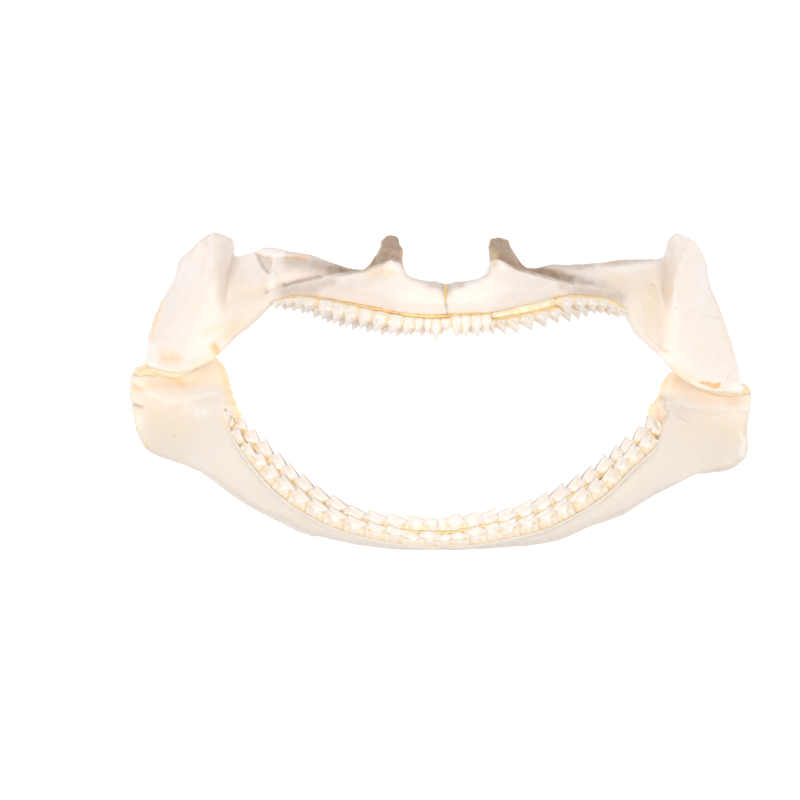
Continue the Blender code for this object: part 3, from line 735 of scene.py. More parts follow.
def band(line, width, spots):
    """1 on the line, fading to both sides over the width."""
    return np.exp(-(distance_to(line, spots) / width) ** 2)


def set_mark(mesh, kind, values):
    """Stores a number at each point, which a material reads by the kind's name."""
    attribute = mesh.attributes.new(kind, "FLOAT", "POINT")
    attribute.data.foreach_set("value", values.astype(np.float32))


def carve(mesh, half, seed):
    """Adds the half's relief to its labial side, and unevenness all over."""
    points = get_points(mesh)
    facing = labial_share(mesh, RELIEF_REACHES)
    spots = wandering_spots(points, RELIEF_WANDERS, seed)
    rise = np.full(len(points), ROUNDED_OFF)
    for height, width, line in RELIEF[half]:
        rise += facing * height * MM * band(line, width, spots)
    for height, _kind, _strength, outline in PATCHES.get(half, []):
        rise += facing * height * MM * inside_share(outline, spots)
    for k, (size, height) in enumerate(UNEVENNESS):
        rise += lumps(points, size * MM, seed + 2 + k) * height * MM
    points += get_normals(mesh) * rise[:, None]
    points[:, 2] = np.maximum(points[:, 2], 0)
    set_points(mesh, points)


def mark(mesh, half, seed):
    """Stores how strongly each kind of colour mark, painted shade among them, shows at each point of the
    labial side.
    """
    points = get_points(mesh)
    facing = labial_share(mesh, MARKS_REACH)
    spots = wandering_spots(points, MARKS_WANDER, seed)
    marks = {kind: np.zeros(len(points)) for kind in (*MARK_LOOKS, "dark")}
    for kind, strength, width, line in MARKS[half]:
        shown = strength * band(line, width, spots) * facing
        # Marks along the hollow behind the crest are painted shade and are cut off at the crest
        if kind == "trough_shade":
            kind = "painted_shade_brown"
            columns, rows = seen_at(points).T
            crest_rows = np.interp(columns, *zip(*CREST[half]))
            shown *= np.clip(crest_rows - rows + 0.5, 0, 1)
        marks[kind] = np.maximum(marks[kind], shown)
    for _height, kind, strength, outline in PATCHES.get(half, []):
        shown = strength * inside_share(outline, spots) * facing
        marks[kind] = np.maximum(marks[kind], shown)
    for kind, values in marks.items():
        set_mark(mesh, kind, values)


def cartilage(half, sections, heights, back_of, pad, node, made_of, seed):
    """One half of the jaw: the solid's own loft made finer, rounded, carved and marked."""
    placed = [[place(*spot, height) for spot, height in zip(*guides)]
              for guides in zip(sections, heights)]
    front = refined(np.array(placed), FINER_SOLID)
    back = back_of(front)
    set_pad(front, back, pad)
    side = math.copysign(1, front[-1, 0, 0])
    keep_to_side(front, side)
    keep_to_side(back, side)
    for grid in (front, back):
        grid[0, :, 0] -= side * SEAM_REACH
    thing = closed_loft(half + "_cartilage", refined(front, FINER_LOOKS), refined(back, FINER_LOOKS))
    remeshed(thing, VOXEL)
    soften(thing.data, SOFTENED_BEFORE_CARVING)
    carve(thing.data, half, seed)
    soften(thing.data, SOFTENED_AFTER_CARVING)
    mark(thing.data, half, seed)
    thing.data.materials.clear()
    thing.data.materials.append(made_of)
    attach(thing, "root")
    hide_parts(node)
    return thing


# Tooth shapes. Each level is its height, where its mesial and distal edges are across the width,
# its thickness as a share of the width, and its edge: 1 is round and more is sharper.
LOWER_TOOTH = [
    (0.00, 0.22, 0.78, 0.12, 1.0),
    (0.03, 0.10, 0.90, 0.24, 1.0),
    (0.10, 0.03, 0.97, 0.32, 1.0),
    (0.30, 0.00, 1.00, 0.34, 1.0),
    (0.55, 0.00, 1.02, 0.31, 1.1),
    (0.66, -0.01, 1.05, 0.28, 1.2),
    (0.71, -0.01, 1.05, 0.25, 1.4),
    (0.75, 0.01, 0.98, 0.22, 1.6),
    (0.78, 0.05, 0.90, 0.20, 1.7),
    (0.85, 0.27, 0.89, 0.16, 1.8),
    (0.91, 0.50, 0.895, 0.11, 1.8),
    (0.96, 0.72, 0.905, 0.06, 1.6),
    (1.00, 0.88, 0.915, 0.02, 1.2),
]
UPPER_TOOTH = [
    (0.00, 0.26, 0.74, 0.12, 1.0),
    (0.04, 0.11, 0.89, 0.26, 1.0),
    (0.12, 0.03, 0.97, 0.33, 1.0),
    (0.26, 0.00, 1.00, 0.35, 1.0),
    (0.44, 0.00, 1.00, 0.33, 1.1),
    (0.51, 0.05, 0.97, 0.30, 1.3),
    (0.57, 0.18, 0.91, 0.27, 1.4),
    (0.66, 0.32, 0.87, 0.23, 1.5),
    (0.78, 0.46, 0.83, 0.17, 1.5),
    (0.90, 0.59, 0.795, 0.10, 1.4),
    (1.00, 0.72, 0.76, 0.02, 1.2),
]
# The levels of a tooth's rings of points, closer together towards the tip, and the points of each
TOOTH_LEVELS = np.linspace(0, 1, 30) ** 0.9
TOOTH_AROUND = 32

NARROWEST_TOOTH = 1.6 * MM
WIDEST_TOOTH = 9 * MM

# Each tooth turns its distal side out by this share of its width, over the next tooth's edge, and
# tilts in or out by up to about half the second share
TOOTH_TWIST = 0.05
TOOTH_TILT = 0.08

# Where the cusp is across the width when a tooth stands upright
UPRIGHT_CUSP = 0.5

# Points of a row's base line for each interval between picks, how often a tooth's place on it is
# looked for, and the height in millimetres that the first search takes for the cusp
FINER_BASE = 8
SEARCHES = 3
FIRST_HEIGHT = 50

# The painted shade on the rims of the blades: how far from the seam it begins, over how many pixels
# it grows to its full strength, and what share of it the first teeth have
RIMS_BEGIN = 80
RIMS_GROW_OVER = 50
LEAST_RIM = 0.1


def rising(values, start, span):
    """0 up to the start, then rising evenly to 1 over the span."""
    return np.clip((values - start) / span, 0, 1)


def line_with_lengths(picks):
    """A smooth line through the picks, and the length along it at each of its points."""
    line = np.array(smooth_line([place(*pick) for pick in picks], FINER_BASE))
    lengths = np.concatenate(([0], np.cumsum(np.linalg.norm(np.diff(line, axis=0), axis=1))))
    return line, lengths


def at_length(line, lengths, wanted):
    """The point and unit direction of the line at a length; past its ends it goes on straight."""
    i = int(np.clip(np.searchsorted(lengths, wanted) - 1, 0, len(line) - 2))
    step = (line[i + 1] - line[i]) / (lengths[i + 1] - lengths[i])
    return line[i] + step * (wanted - lengths[i]), step / np.linalg.norm(step)


def length_nearest(line, lengths, point):
    """The length along the line at which it is seen nearest to the point, from above."""
    best, found = np.inf, 0
    for i in range(len(line) - 1):
        a, b = line[i, :2], line[i + 1, :2]
        step = b - a
        share = float(np.clip((point[:2] - a) @ step / (step @ step), 0, 1))
        gap = np.linalg.norm(a + step * share - point[:2])
        if gap < best:
            best, found = gap, lengths[i] + share * (lengths[i + 1] - lengths[i])
    return found


def lower_face(across, levels, _middle):
    """How far a lower tooth's labial side stands out, and how much of it is crown: the crown
    reaches down in a tongue between the lobes of the root, with a pit on each side of it."""
    tongue = 0.40 * np.exp(-(across / 0.20) ** 2)
    crown = np.clip((levels - 0.60 + tongue) / 0.10, 0, 1)
    pits = np.exp(-((np.abs(across) - 0.27) / 0.06) ** 2 - ((levels - 0.50) / 0.08) ** 2)
    lobes = 0.04 * np.cos(across * 6 * math.pi) * np.clip(1 - levels / 0.5, 0, 1)
    return lobes - 0.06 * pits + 0.03 * crown, crown


def upper_face(across, levels, middle):
    """How far an upper tooth's labial side stands out, and how much of it is crown: the crown is a
    diamond between two lobes of the root, with a keel that runs down the cusp."""
    apex = 0.14 + 0.62 * np.abs(across)
    crown = rising(levels, apex, 0.08)
    lobes = 0.06 * np.exp(-((np.abs(across) - 0.34) / 0.14) ** 2 - ((levels - 0.16) / 0.12) ** 2)
    rim = 0.04 * np.exp(-((levels - apex) / 0.06) ** 2)
    keel = 0.09 * np.exp(-((across - middle) / 0.09) ** 2)
    keel = keel * rising(levels, 0.25, 0.25) * np.clip((1.05 - levels) / 0.3, 0, 1)
    return lobes + rim + keel, crown


def leaning_profile(shape, lean):
    """The mesial and distal edge, thickness and edge of a tooth at each level. With no lean the
    tooth is the shape made even on both sides."""
    shape = np.array(shape)
    mesial, distal, thick, edge = (
        np.interp(TOOTH_LEVELS, shape[:, 0], shape[:, k])[:, None] for k in (1, 2, 3, 4))
    even = (mesial + 1 - distal) / 2
    mesial = even * (1 - lean) + mesial * lean
    distal = (1 - even) * (1 - lean) + distal * lean
    return mesial, distal, thick, edge


def tooth(profile, face, foot, along, up, width, height, tilt, amber_up_to, painted_shade_rim):
    """The points of one tooth, level by level, its faces, and three marks: how much a point is
    crown, how amber it is, and the painted shade on the rim of its blade. Along runs towards the joint."""
    out = np.cross(along, up)
    if out[2] < 0:
        out = -out
    mesial, distal, thick, edge = profile
    levels = TOOTH_LEVELS[:, None]
    angles = np.arange(TOOTH_AROUND) / TOOTH_AROUND * 2 * math.pi
    cosine, sine = np.cos(angles)[None], np.sin(angles)[None]
    middle = (mesial + distal) / 2 - 0.5
    across = middle + (distal - mesial) / 2 * cosine
    depth = np.sign(sine) * np.abs(sine) ** edge * thick / 2
    labial = np.clip(sine * 4, 0, 1)
    raised, crown = face(across, levels, middle)
    depth = depth + raised * labial + TOOTH_TWIST * across + tilt * levels
    points = (
        foot
        + along * (across * width)[..., None]
        + up * (levels * height * np.ones_like(across))[..., None]
        + out * (depth * width)[..., None]
    )
    points = points.reshape(-1, 3)
    rings = len(TOOTH_LEVELS)
    faces = grid_faces(rings, TOOTH_AROUND, round_columns=True)
    faces.append(list(range(TOOTH_AROUND)))
    faces.append(list(range(len(points) - 1, len(points) - TOOTH_AROUND - 1, -1)))
    # Amber lies in the creases at both edges, in what is sunk in the root, and at the foot
    creases = np.maximum(rising(cosine, 0.72, 0.2), rising(-cosine, 0.5, 0.12))
    sides = creases * np.clip((0.75 - levels) / 0.1, 0, 1)
    sunk = np.clip(-raised / 0.05, 0, 1) * labial * (1 - crown)
    low = np.clip((1 - levels / amber_up_to) * 2, 0, 1) * (1 - crown * 0.5)
    amber = np.maximum(np.maximum(sides * 0.6, sunk), low)
    # Painted shade on the rim of the blade, where its shaded lingual side shows as a thin dark line
    rim = rising(-cosine, 0.75, 0.2) * rising(levels, 0.74, 0.06) * painted_shade_rim
    marks = {"crown": crown * np.ones_like(across), "amber": amber, "rim": rim}
    return points, faces, {kind: values.ravel() for kind, values in marks.items()}


# What the teeth of a jaw share: their levels and their labial side, their width as a share of
# their spacing, where the cusp is across it when they lean in full, and how much of the full lean
# each tooth adds to the one before it
LOWER_TEETH = (LOWER_TOOTH, lower_face, 1.22, 0.9, 0.3)
UPPER_TEETH = (UPPER_TOOTH, upper_face, 1.28, 0.74, 0.2)


def tooth_row(name, node, teeth, base, tips, tip_rise=0, first_lean=0.0, amber_up_to=0.12,
              painted_shade_rim=0.0):
    """A row of teeth. Base is the line the teeth stand on, tips the picture's picks of their
    cusps, tip_rise how many millimetres higher than the base a cusp is, and first_lean how much of
    the full lean the first tooth has. Blades far from the seam get painted shade on their rims."""
    shape, face, wide, cusp, lean_step = teeth
    line, lengths = line_with_lengths(base)
    spots = []
    for column, row in tips:
        where = length_nearest(line, lengths, place(column, row, FIRST_HEIGHT))
        for _ in range(SEARCHES):
            foot, _along = at_length(line, lengths, where)
            tip = place(column, row, foot[2] / MM + tip_rise)
            where = length_nearest(line, lengths, tip)
        spots.append((where, tip))
    points, faces = [], []
    marks = {"crown": [], "amber": [], "rim": []}
    total = 0
    for i, (where, tip) in enumerate(spots):
        before = abs(where - spots[i - 1][0]) if i else None
        after = abs(spots[i + 1][0] - where) if i + 1 < len(spots) else None
        gap = np.mean([g for g in (before, after) if g is not None])
        lean = min(first_lean + lean_step * i, 1)
        off_middle = UPRIGHT_CUSP * (1 - lean) + cusp * lean - 0.5
        width = float(np.clip(gap * wide, NARROWEST_TOOTH, WIDEST_TOOTH))
        foot, along = at_length(line, lengths, where - off_middle * width)
        reach = tip - foot - along * off_middle * width
        height = np.linalg.norm(reach)
        up = reach / height
        tilt = TOOTH_TILT * noise.noise(Vector((i * 1.7, lengths[-1] * 100, 3.3)))
        from_seam = abs(tips[i][0] - SEAM_COLUMN)
        # How strongly the rim of this tooth's blade gets painted shade
        rim = painted_shade_rim * float(np.clip((from_seam - RIMS_BEGIN) / RIMS_GROW_OVER, LEAST_RIM, 1))
        profile = leaning_profile(shape, lean)
        made, made_faces, made_marks = tooth(
            profile, face, foot, along, up, width, height, tilt, amber_up_to, rim)
        points.append(made)
        faces += [[v + total for v in made_face] for made_face in made_faces]
        for kind, values in made_marks.items():
            marks[kind].append(values)
        total += len(made)
    thing = mesh_object(name, np.concatenate(points), faces)
    for kind, values in marks.items():
        set_mark(thing.data, kind, np.concatenate(values))
    thing.data.materials.append(ENAMEL)
    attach(thing, "root")
    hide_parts(node)
    return thing


# Strands of dried tissue: points for each interval between picks, how steeply they widen from
# both ends, what is left at the very ends, and the sizes of the lumps on them in millimetres
FINER_STRIP = 14
STRIP_WIDENS_BY = 7
STRIP_END = 0.02
STRIP_LUMPS = (2.2, 0.9)


def strip(name, path, radii, made_of, seed, rough, around=18, taper=1.0):
    """A lumpy strand of dried gum or tissue, or the lip under a row of teeth. Radii are its half
    height and half depth in millimetres, taper what share of them is left at its end, and rough
    how far its lumps rise in millimetres."""
    line = np.array(smooth_line([place(*pick) for pick in path], FINER_STRIP))
    along = np.gradient(line, axis=0)
    along /= np.linalg.norm(along, axis=1, keepdims=True)
    deep = np.array((0, 0, 1.0)) - along * along[:, 2:3]
    deep /= np.linalg.norm(deep, axis=1, keepdims=True)
    high = np.cross(deep, along)
    angles = np.arange(around) / around * 2 * math.pi
    share = np.linspace(0, 1, len(line))
    ends = np.clip(np.minimum(share, 1 - share) * STRIP_WIDENS_BY, STRIP_END, 1) ** 0.5
    ends *= 1 + (taper - 1) * share
    points = (
        line[:, None]
        + high[:, None] * (np.cos(angles)[None] * radii[0] * MM * ends[:, None])[..., None]
        + deep[:, None] * (np.sin(angles)[None] * radii[1] * MM * ends[:, None])[..., None]
    )
    flat = points.reshape(-1, 3)
    away = flat - np.repeat(line, around, axis=0)
    away /= np.maximum(np.linalg.norm(away, axis=1, keepdims=True), 1e-9)
    coarse, fine = (lumps(flat, size * MM, seed + k) for k, size in enumerate(STRIP_LUMPS))
    rise = coarse * rough + fine * rough * 0.5
    flat = flat + away * (rise * MM)[:, None]
    faces = grid_faces(len(line), around, round_columns=True, turned=True)
    faces.append(list(range(around)))
    faces.append(list(range(len(flat) - 1, len(flat) - around - 1, -1)))
    thing = mesh_object(name, flat, faces)
    thing.data.materials.append(made_of)
    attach(thing, "root")
    return thing


# Materials

class Nodes:
    """Short ways to add nodes to a material."""

    def __init__(self, name):
        self.material = bpy.data.materials.new(name)
        self.material.use_nodes = True
        self.tree = self.material.node_tree
        self.shader = self.tree.nodes["Principled BSDF"]
        self.place = self.tree.nodes.new("ShaderNodeTexCoord").outputs["Object"]

    def link(self, source, target):
        self.tree.links.new(source, target)

    def noise(self, size, detail=4, rough=0.55):
        """Noise whose lumps are about size metres across."""
        node = self.tree.nodes.new("ShaderNodeTexNoise")
        node.inputs["Scale"].default_value = 1 / size
        node.inputs["Detail"].default_value = detail
        node.inputs["Roughness"].default_value = rough
        self.link(self.place, node.inputs["Vector"])
        return node.outputs["Fac"]

    def cells(self, size):
        node = self.tree.nodes.new("ShaderNodeTexVoronoi")
        node.inputs["Scale"].default_value = 1 / size
        self.link(self.place, node.inputs["Vector"])
        return node.outputs["Distance"]

    def mark(self, name):
        node = self.tree.nodes.new("ShaderNodeAttribute")
        node.attribute_name = name
        return node.outputs["Fac"]

    def ramp(self, source, low, high, start=0.0, end=1.0):
        """start below low, end above high, and even between."""
        node = self.tree.nodes.new("ShaderNodeMapRange")
        node.inputs["From Min"].default_value = low
        node.inputs["From Max"].default_value = high
        node.inputs["To Min"].default_value = start
        node.inputs["To Max"].default_value = end
        self.link(source, node.inputs["Value"])
        return node.outputs["Result"]

    def math(self, operation, a, b):
        node = self.tree.nodes.new("ShaderNodeMath")
        node.operation = operation
        for socket, value in zip(node.inputs, (a, b)):
            if isinstance(value, (int, float)):
                socket.default_value = value
            else:
                self.link(value, socket)
        return node.outputs[0]

    def mix(self, share, a, b):
        """Colour a where share is 0 and colour b where it is 1."""
        node = self.tree.nodes.new("ShaderNodeMix")
        node.data_type = "RGBA"
        self.link(share, node.inputs["Factor"])
        colour_inputs = [s for s in node.inputs if s.type == "RGBA"]
        for socket, value in zip(colour_inputs, (a, b)):
            if isinstance(value, tuple):
                socket.default_value = (*value, 1)
            else:
                self.link(value, socket)
        return [s for s in node.outputs if s.type == "RGBA"][0]

    def bump(self, source, depth, strength=1.0, under=None):
        node = self.tree.nodes.new("ShaderNodeBump")
        node.inputs["Distance"].default_value = depth
        node.inputs["Strength"].default_value = strength
        self.link(source, node.inputs["Height"])
        if under is not None:
            self.link(under, node.inputs["Normal"])
        return node.outputs["Normal"]

    def finish(self, colour, roughness, normal, soft, radius):
        self.link(colour, self.shader.inputs["Base Color"])
        self.link(roughness, self.shader.inputs["Roughness"])
        self.link(normal, self.shader.inputs["Normal"])
        self.shader.inputs["Subsurface Weight"].default_value = soft
        self.shader.inputs["Subsurface Radius"].default_value = (1.0, 0.92, 0.84)
        self.shader.inputs["Subsurface Scale"].default_value = radius
        self.shader.inputs["IOR"].default_value = 1.5
        return self.material


def cartilage_material(name, base, shade):
    """Waxy dried cartilage: cloudy ivory with amber, pale and dark marks, greyish marks that are partly
    painted shade, and brownish painted shade.
    """
    n = Nodes(name)
    cloud = n.ramp(n.noise(16 * MM, 3), 0.35, 0.65)
    colour = n.mix(cloud, base, shade)
    mottle = n.ramp(n.noise(3.5 * MM, 5), 0.4, 0.75, 0, 0.5)
    colour = n.mix(mottle, colour, (0.88, 0.78, 0.68))
    # The brownish marks are painted shade, and the greyish ones partly so
    for kind, (tint, grain, detail, breaks) in MARK_LOOKS.items():
        broken = n.ramp(n.noise(grain * MM, detail), *breaks)
        colour = n.mix(n.math("MULTIPLY", n.mark(kind), broken), colour, tint)
    colour = n.mix(n.mark("dark"), colour, DARK_MARK)
    roughness = n.ramp(n.noise(4 * MM, 4), 0.3, 0.7, 0.34, 0.58)
    fine = n.bump(n.noise(0.7 * MM, 4), 0.10 * MM, 0.6)
    normal = n.bump(n.noise(3 * MM, 5), 0.25 * MM, 0.6, under=fine)
    return n.finish(colour, roughness, normal, 0.85, 1.8 * MM)


def enamel_material():
    """Glossy translucent enamel crowns on chalky, faintly pitted roots, with painted shade on the rims of the
    inner blades.
    """
    n = Nodes("Enamel")
    crown = n.mark("crown")
    root = n.mix(n.ramp(n.noise(1.2 * MM, 4), 0.35, 0.7), (0.90, 0.83, 0.75), (0.88, 0.76, 0.61))
    blade = n.mix(n.ramp(n.noise(2.5 * MM, 3), 0.35, 0.7), (0.91, 0.83, 0.76), (0.88, 0.79, 0.71))
    colour = n.mix(crown, root, blade)
    amber = n.math("MULTIPLY", n.mark("amber"), n.ramp(n.noise(0.9 * MM, 3), 0.3, 0.6, 0.5, 1))
    colour = n.mix(amber, colour, (0.97, 0.64, 0.28))
    # Painted shade on the blade rims
    colour = n.mix(n.mark("rim"), colour, (0.22, 0.15, 0.11))
    roughness = n.ramp(crown, 0, 1, 0.45, 0.16)
    normal = n.bump(n.noise(0.5 * MM, 3), 0.06 * MM, 0.5)
    return n.finish(colour, roughness, normal, 0.5, 0.25 * MM)


def gum_material(name, light, deep):
    """Dried gum and joint tissue: glassy amber, drawn into grains and threads."""
    n = Nodes(name)
    colour = n.mix(n.ramp(n.noise(2.2 * MM, 5), 0.35, 0.65), light, deep)
    colour = n.mix(n.ramp(n.cells(0.9 * MM), 0.5, 0.9, 0, 0.3), colour, (0.95, 0.80, 0.58))
    roughness = n.ramp(n.noise(1.5 * MM, 3), 0.3, 0.7, 0.22, 0.5)
    normal = n.bump(n.noise(0.8 * MM, 4), 0.15 * MM, 0.7)
    return n.finish(colour, roughness, normal, 0.6, 0.5 * MM)


UPPER_MATERIAL = cartilage_material("Upper_cartilage", (0.94, 0.858, 0.812), (0.94, 0.835, 0.77))
# The lower cartilage is darker and pinker than the upper: the darkening is painted shade, the pink is its own
# tone
LOWER_SHADED_MATERIAL = cartilage_material("Lower_cartilage", (0.86, 0.79, 0.73), (0.88, 0.79, 0.69))
ENAMEL = enamel_material()
GUM = gum_material("Dried_gum", (0.98, 0.74, 0.38), (0.95, 0.60, 0.22))
LOWER_GUM = gum_material("Lower_gum", (0.97, 0.78, 0.47), (0.95, 0.66, 0.31))
PALE_GUM = gum_material("Pale_gum", (0.97, 0.88, 0.73), (0.97, 0.79, 0.54))
TISSUE = gum_material("Joint_tissue", (0.95, 0.82, 0.62), (0.93, 0.70, 0.42))

cartilage("upper_left", UPPER_LEFT, UPPER_HEIGHTS, upper_back, UPPER_PAD,
          "palatoquadrate_left", UPPER_MATERIAL, 1)
cartilage("upper_right", UPPER_RIGHT, UPPER_HEIGHTS, upper_back, UPPER_PAD,
          "palatoquadrate_right", UPPER_MATERIAL, 11)
cartilage("lower_left", LOWER_LEFT, LOWER_HEIGHTS, lower_back, LOWER_PAD,
          "meckel_cartilage_left", LOWER_SHADED_MATERIAL, 21)
cartilage("lower_right", LOWER_RIGHT, LOWER_HEIGHTS, lower_back, LOWER_PAD,
          "meckel_cartilage_right", LOWER_SHADED_MATERIAL, 31)

# Lower teeth
tooth_row(
    "lower_outer_tooth_row_left", "lower_outer_teeth_left", LOWER_TEETH,
    [(452, 545, 60.8), (427, 546, 60.5), (402, 543.5, 60), (359, 535, 56.5), (318, 519.5, 50.8),
     (279, 493.5, 44), (254, 466, 38), (238, 443, 34), (228, 424, 31)],
    [(445.3, 533.3), (426.7, 530), (407.7, 531), (388.3, 524.7), (369, 520.7), (349.3, 514.7),
     (330.4, 506), (314.4, 497.3), (298, 487), (284.2, 475), (271.8, 463.2), (260.4, 451.8),
     (249.6, 442.2), (238.8, 428.6), (232.8, 418.2), (226.2, 413)],
    tip_rise=1.8)
tooth_row(
    "lower_outer_tooth_row_right", "lower_outer_teeth_right", LOWER_TEETH,
    [(440, 545, 60.8), (465, 545, 60.8), (501, 539.5, 59.4), (539.5, 530, 55.4), (576.5, 513, 50.3),
     (607, 492, 44.8), (633, 466, 38.5), (654, 447, 34), (662, 430, 31)],
    [(458.7, 531.3), (477.3, 525.5), (496, 522), (514.7, 517.3), (533.3, 512.7), (550.4, 505.7),
     (566, 496.7), (582.7, 486), (596.7, 477), (610, 466.5), (621.4, 455), (633.8, 443.5),
     (643.6, 434), (652, 425), (658, 420)],
    tip_rise=1.8)
tooth_row(
    "lower_inner_tooth_row_left", "lower_inner_teeth_left", LOWER_TEETH,
    [(452, 537.5, 59.6), (402, 536, 58.9), (362, 529, 55.3), (325, 515, 50), (288, 491, 43),
     (259, 463, 36.6), (241, 440, 32.5), (229, 422, 29.6)],
    [(439.3, 516.3), (426, 516), (407.3, 515), (387.3, 512.7), (368.7, 509), (349.3, 504),
     (332, 494.4), (316.7, 484.7), (302.7, 473.3), (290.3, 462.7), (279, 451.8), (265.8, 438.6),
     (255, 428.2), (244.2, 418.8), (235.2, 411.6), (228.6, 407)],
    tip_rise=2.2, first_lean=0.5, amber_up_to=0.4, painted_shade_rim=0.8)
tooth_row(
    "lower_inner_tooth_row_right", "lower_inner_teeth_right", LOWER_TEETH,
    [(444, 537.5, 59.6), (489, 535, 58.9), (529, 527, 55.3), (567, 511.5, 50), (602, 489, 43),
     (634, 461, 36.6), (652, 441, 32.5), (661, 425, 29.6)],
    [(456.7, 513.5), (477, 510.7), (494.7, 508), (512.7, 506), (530.7, 498.4), (546.7, 492),
     (563.3, 482.7), (577.3, 474), (590.5, 465.3), (604, 454.5), (616.5, 444.6), (626, 436.6),
     (638, 425.5), (648, 416)],
    tip_rise=2.2, first_lean=0.2, amber_up_to=0.4, painted_shade_rim=0.8)

# Upper teeth
tooth_row(
    "upper_outer_tooth_row_left", "upper_outer_teeth_left", UPPER_TEETH,
    [(450, 318.2, 77.3), (427, 318.2, 77), (412, 317, 76.5), (389, 312.8, 74.6), (356, 305.8, 68.5),
     (330, 300, 61.8), (308, 297, 55), (290, 297.6, 48.5), (272, 301.4, 42)],
    [(446.2, 332.5), (436, 340.8), (427, 334), (416.2, 334), (404, 337), (389, 335.4), (374, 333),
     (359.6, 329.4), (345.2, 327.6), (333.2, 324), (321.8, 319.8), (306.8, 313.2), (298.4, 309.6),
     (288.8, 309), (282.8, 308.4), (276.6, 309.5)],
    amber_up_to=0.05)
tooth_row(
    "upper_chunk_tooth_row", "upper_outer_teeth_chunk", UPPER_TEETH,
    [(446, 315, 77.3), (461, 315, 77.3), (478, 314.5, 76.5), (493, 313.5, 75.6)],
    [(456.4, 339), (466, 337.8), (478, 337.8), (488.2, 333.5)],
    amber_up_to=0.05)
tooth_row(
    "upper_outer_tooth_row_right", "upper_outer_teeth_right", UPPER_TEETH,
    [(556, 296.4, 63.3), (583, 296.6, 54.8), (603, 298.3, 48.5), (615, 302.2, 44.2),
     (626, 307.8, 39.5)],
    [(569.2, 313.5), (582, 312.5), (593.4, 312.5), (602, 313), (610, 314), (617, 315.5), (623, 317)],
    first_lean=1, amber_up_to=0.05)
tooth_row(
    "upper_inner_tooth_row_left", "upper_inner_teeth_left", UPPER_TEETH,
    [(450, 318, 73.3), (412, 317.5, 72.5), (389, 314, 70.8), (356, 308, 65), (308, 301, 51.8),
     (278, 305, 40.5)],
    [(441, 335), (431, 336), (421.5, 337), (410, 336), (396.5, 337), (381.5, 335.5), (367, 332.5),
     (352.5, 330), (339, 327.5), (327.5, 323), (314, 318), (302.5, 313.5), (293.5, 311.5),
     (285.5, 310.5)],
    amber_up_to=0.3)
tooth_row(
    "upper_inner_tooth_row_right", "upper_inner_teeth_right", UPPER_TEETH,
    [(444, 318, 73.3), (479, 317.5, 72.5), (502, 315, 70.8), (535, 308, 65), (583, 303.5, 51.8),
     (622, 313.5, 38.5)],
    [(461, 335), (472, 335), (483, 334), (494, 335), (505, 334.8), (518.2, 333.6), (532, 330.6),
     (545.8, 327.6), (558.4, 323.4), (569.5, 322.3), (578.8, 320), (586.5, 317.5), (594, 314.4),
     (600.4, 313.9), (609, 316), (617, 318)],
    amber_up_to=0.3)

# Dried gum behind and between the rows of teeth, the lips under the lower ones, and joint tissue
strip("lower_gum_left",
      [(464, 530.5, 60.3), (446, 532.6, 60.6), (402, 530.2, 59.9), (361.5, 521, 55.9),
       (324.5, 506.5, 49.7), (288.5, 482, 42.6), (252.5, 445.8, 34.1), (233.5, 419.3, 29.3)],
      (0.65, 1.9), LOWER_GUM, 41, rough=0.2)
strip("lower_gum_right",
      [(426, 531.8, 60.4), (446, 532.6, 60.6), (489, 524.4, 59.9), (529, 515.2, 55.3),
       (566, 498.8, 50.2), (601.5, 475.8, 42.2), (640, 439.5, 33.5), (657.5, 421.3, 28.7)],
      (0.65, 1.9), LOWER_GUM, 43, rough=0.2)
strip("dental_lip_left",
      [(470, 545, 58), (446, 545.8, 58.3), (427, 546.6, 58), (402, 544.1, 57.5), (359, 536, 54),
       (317.2, 520.3, 48.2), (277.8, 494.1, 41.3), (252.8, 466.4, 35.2), (236.8, 443.3, 31.1),
       (227, 424, 28)],
      (0.85, 1.8), LOWER_SHADED_MATERIAL, 61, rough=0.15)
strip("dental_lip_right",
      [(420, 545, 58), (444, 545.8, 58.3), (465, 545.6, 58.3), (501.5, 540.1, 56.9),
       (540.2, 530.8, 52.8), (577.3, 513.8, 47.7), (608, 492.7, 42.1), (634, 466.6, 35.7), (655, 447.4, 31.1),
       (663, 430, 28)],
      (0.85, 1.8), LOWER_SHADED_MATERIAL, 63, rough=0.15)
strip("upper_gum_left",
      [(416, 316.2, 74.4), (389, 311.9, 72.3), (356, 305.6, 66.4), (330, 300.7, 59.2),
       (308, 297.4, 52.4), (288, 298.2, 45.3), (271, 303.4, 39.8)],
      (0.65, 1.5), GUM, 45, rough=0.15)
strip("upper_gum_middle",
      [(452, 316.6, 75), (427, 316.6, 74.9), (412, 315.5, 74.4), (396, 313, 73.2)],
      (0.75, 1.6), GUM, 46, rough=0.15)
strip("upper_gum_chunk", [(446, 315.2, 75), (461, 314.6, 74.9), (478, 314.3, 74.3), (494, 313.2, 73.3)],
      (0.5, 1.5), GUM, 47, rough=0.1)
strip("upper_gum_right",
      [(556, 297.6, 61.3), (570, 296.4, 57.6), (583, 296.8, 53.8), (597, 298, 49.6),
       (609, 300.6, 45.4), (628, 309, 39)],
      (0.55, 1.5), GUM, 48, rough=0.15)
strip("exposed_gum", [(491, 315.3, 74), (515, 311.5, 70), (536, 306.2, 66.3), (560, 300.2, 60.9)],
      (1.6, 0.95), PALE_GUM, 49, rough=0.42, taper=0.85)
strip("exposed_gum_edge",
      [(492, 319.5, 74.8), (515, 316.4, 71.8), (536, 311.2, 66.8), (558, 305.2, 61.9)],
      (0.35, 0.9), GUM, 44, rough=0.15)
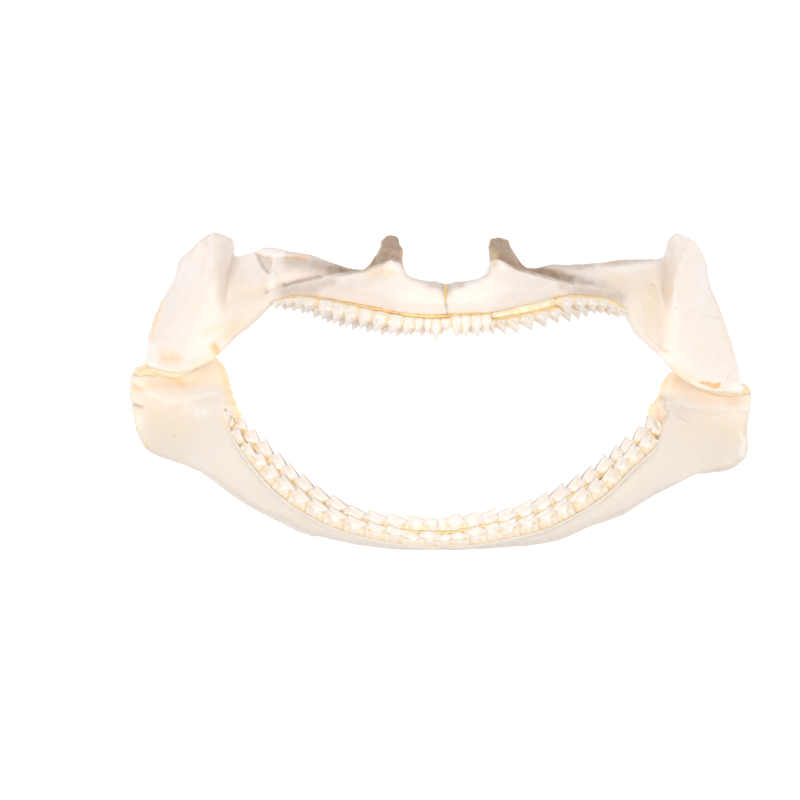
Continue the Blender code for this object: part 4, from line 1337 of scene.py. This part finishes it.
strip("seam_tissue_upper",
      [(445.5, 284.5, 73.4), (445.5, 289, 76.4), (445.5, 294, 77.4), (445.5, 301, 77.85),
       (445.5, 309, 77.2)],
      (0.6, 0.6), GUM, 50, rough=0.08, around=12, taper=0.5)
strip("joint_tissue_left",
      [(133, 380, 3.5), (142, 372, 5), (156, 371.5, 6.4), (176, 374, 7.8), (196, 369, 9.3),
       (214, 359, 10.8)],
      (2.0, 1.6), TISSUE, 51, rough=0.45)
strip("joint_tissue_right",
      [(749, 396, 3.5), (743, 390, 5), (726, 391, 6.4), (708, 387.5, 7.8), (690, 379.5, 9.3),
       (673, 367, 10.8)],
      (2.0, 1.6), TISSUE, 53, rough=0.45)


# Floor, light and camera

# Half the floor's side, how far it lies under the jaw, and its own soft glow
FLOOR_REACH = 3.0
FLOOR_DROP = 0.2 * MM
FLOOR_SHADE = 0.15
FLOOR_GLOW = 0.95
AMBIENT = 0.15

# Soft lamps: where they hang and how wide they are in metres, and their power in watts
LAMPS = {
    "Key": ((-0.1, -0.4, 2.4), 1.6, 24.5),
    "Left": ((-1.6, -0.2, 1.4), 1.2, 17.6),
    "Right": ((1.6, -0.2, 1.4), 1.2, 17.6),
    "Back": ((0, 1.4, 1.6), 1.2, 9.8),
}


def floor():
    """A plain pale floor, a little under the jaw, that leaves only faint shadows."""
    mesh = bpy.data.meshes.new("Floor")
    corners = [(x * FLOOR_REACH, y * FLOOR_REACH, 0) for x, y in ((-1, -1), (1, -1), (1, 1), (-1, 1))]
    mesh.from_pydata(corners, [], [(0, 1, 2, 3)])
    thing = bpy.data.objects.new("Floor", mesh)
    thing.location.z = -FLOOR_DROP
    bpy.context.scene.collection.objects.link(thing)
    made = bpy.data.materials.new("Floor_white")
    made.use_nodes = True
    shader = made.node_tree.nodes["Principled BSDF"]
    shader.inputs["Base Color"].default_value = (FLOOR_SHADE,) * 3 + (1,)
    shader.inputs["Roughness"].default_value = 0.8
    shader.inputs["Emission Color"].default_value = (1, 1, 1, 1)
    shader.inputs["Emission Strength"].default_value = FLOOR_GLOW
    mesh.materials.append(made)


def area_light(name, at, size, watts):
    """A round lamp that looks at the jaw."""
    light = bpy.data.lights.new(name, "AREA")
    light.shape = "DISK"
    light.size = size
    light.energy = watts
    thing = bpy.data.objects.new(name, light)
    thing.location = at
    thing.rotation_mode = "QUATERNION"
    thing.rotation_quaternion = (-Vector(at)).to_track_quat("-Z", "Y")
    bpy.context.scene.collection.objects.link(thing)


def world():
    """An even white surround."""
    made = bpy.data.worlds.new("Studio")
    made.use_nodes = True
    background = made.node_tree.nodes["Background"]
    background.inputs["Color"].default_value = (1, 1, 1, 1)
    background.inputs["Strength"].default_value = AMBIENT
    bpy.context.scene.world = made


def camera():
    """Looks straight down, so that the lying surface fills the frame as it does the picture."""
    data = bpy.data.cameras.new("Camera")
    data.sensor_width = SENSOR
    data.lens = SENSOR * CAMERA_HEIGHT / (2 * PICTURE_MIDDLE * PIXEL)
    data.clip_start = 0.05
    data.clip_end = 20
    thing = bpy.data.objects.new("Camera", data)
    thing.location = (CAMERA_X, CAMERA_Y, CAMERA_HEIGHT)
    bpy.context.scene.collection.objects.link(thing)
    bpy.context.scene.camera = thing


floor()
world()
for lamp, (at, size, watts) in LAMPS.items():
    area_light(lamp, at, size, watts)
camera()
bpy.context.scene.view_settings.view_transform = "Standard"
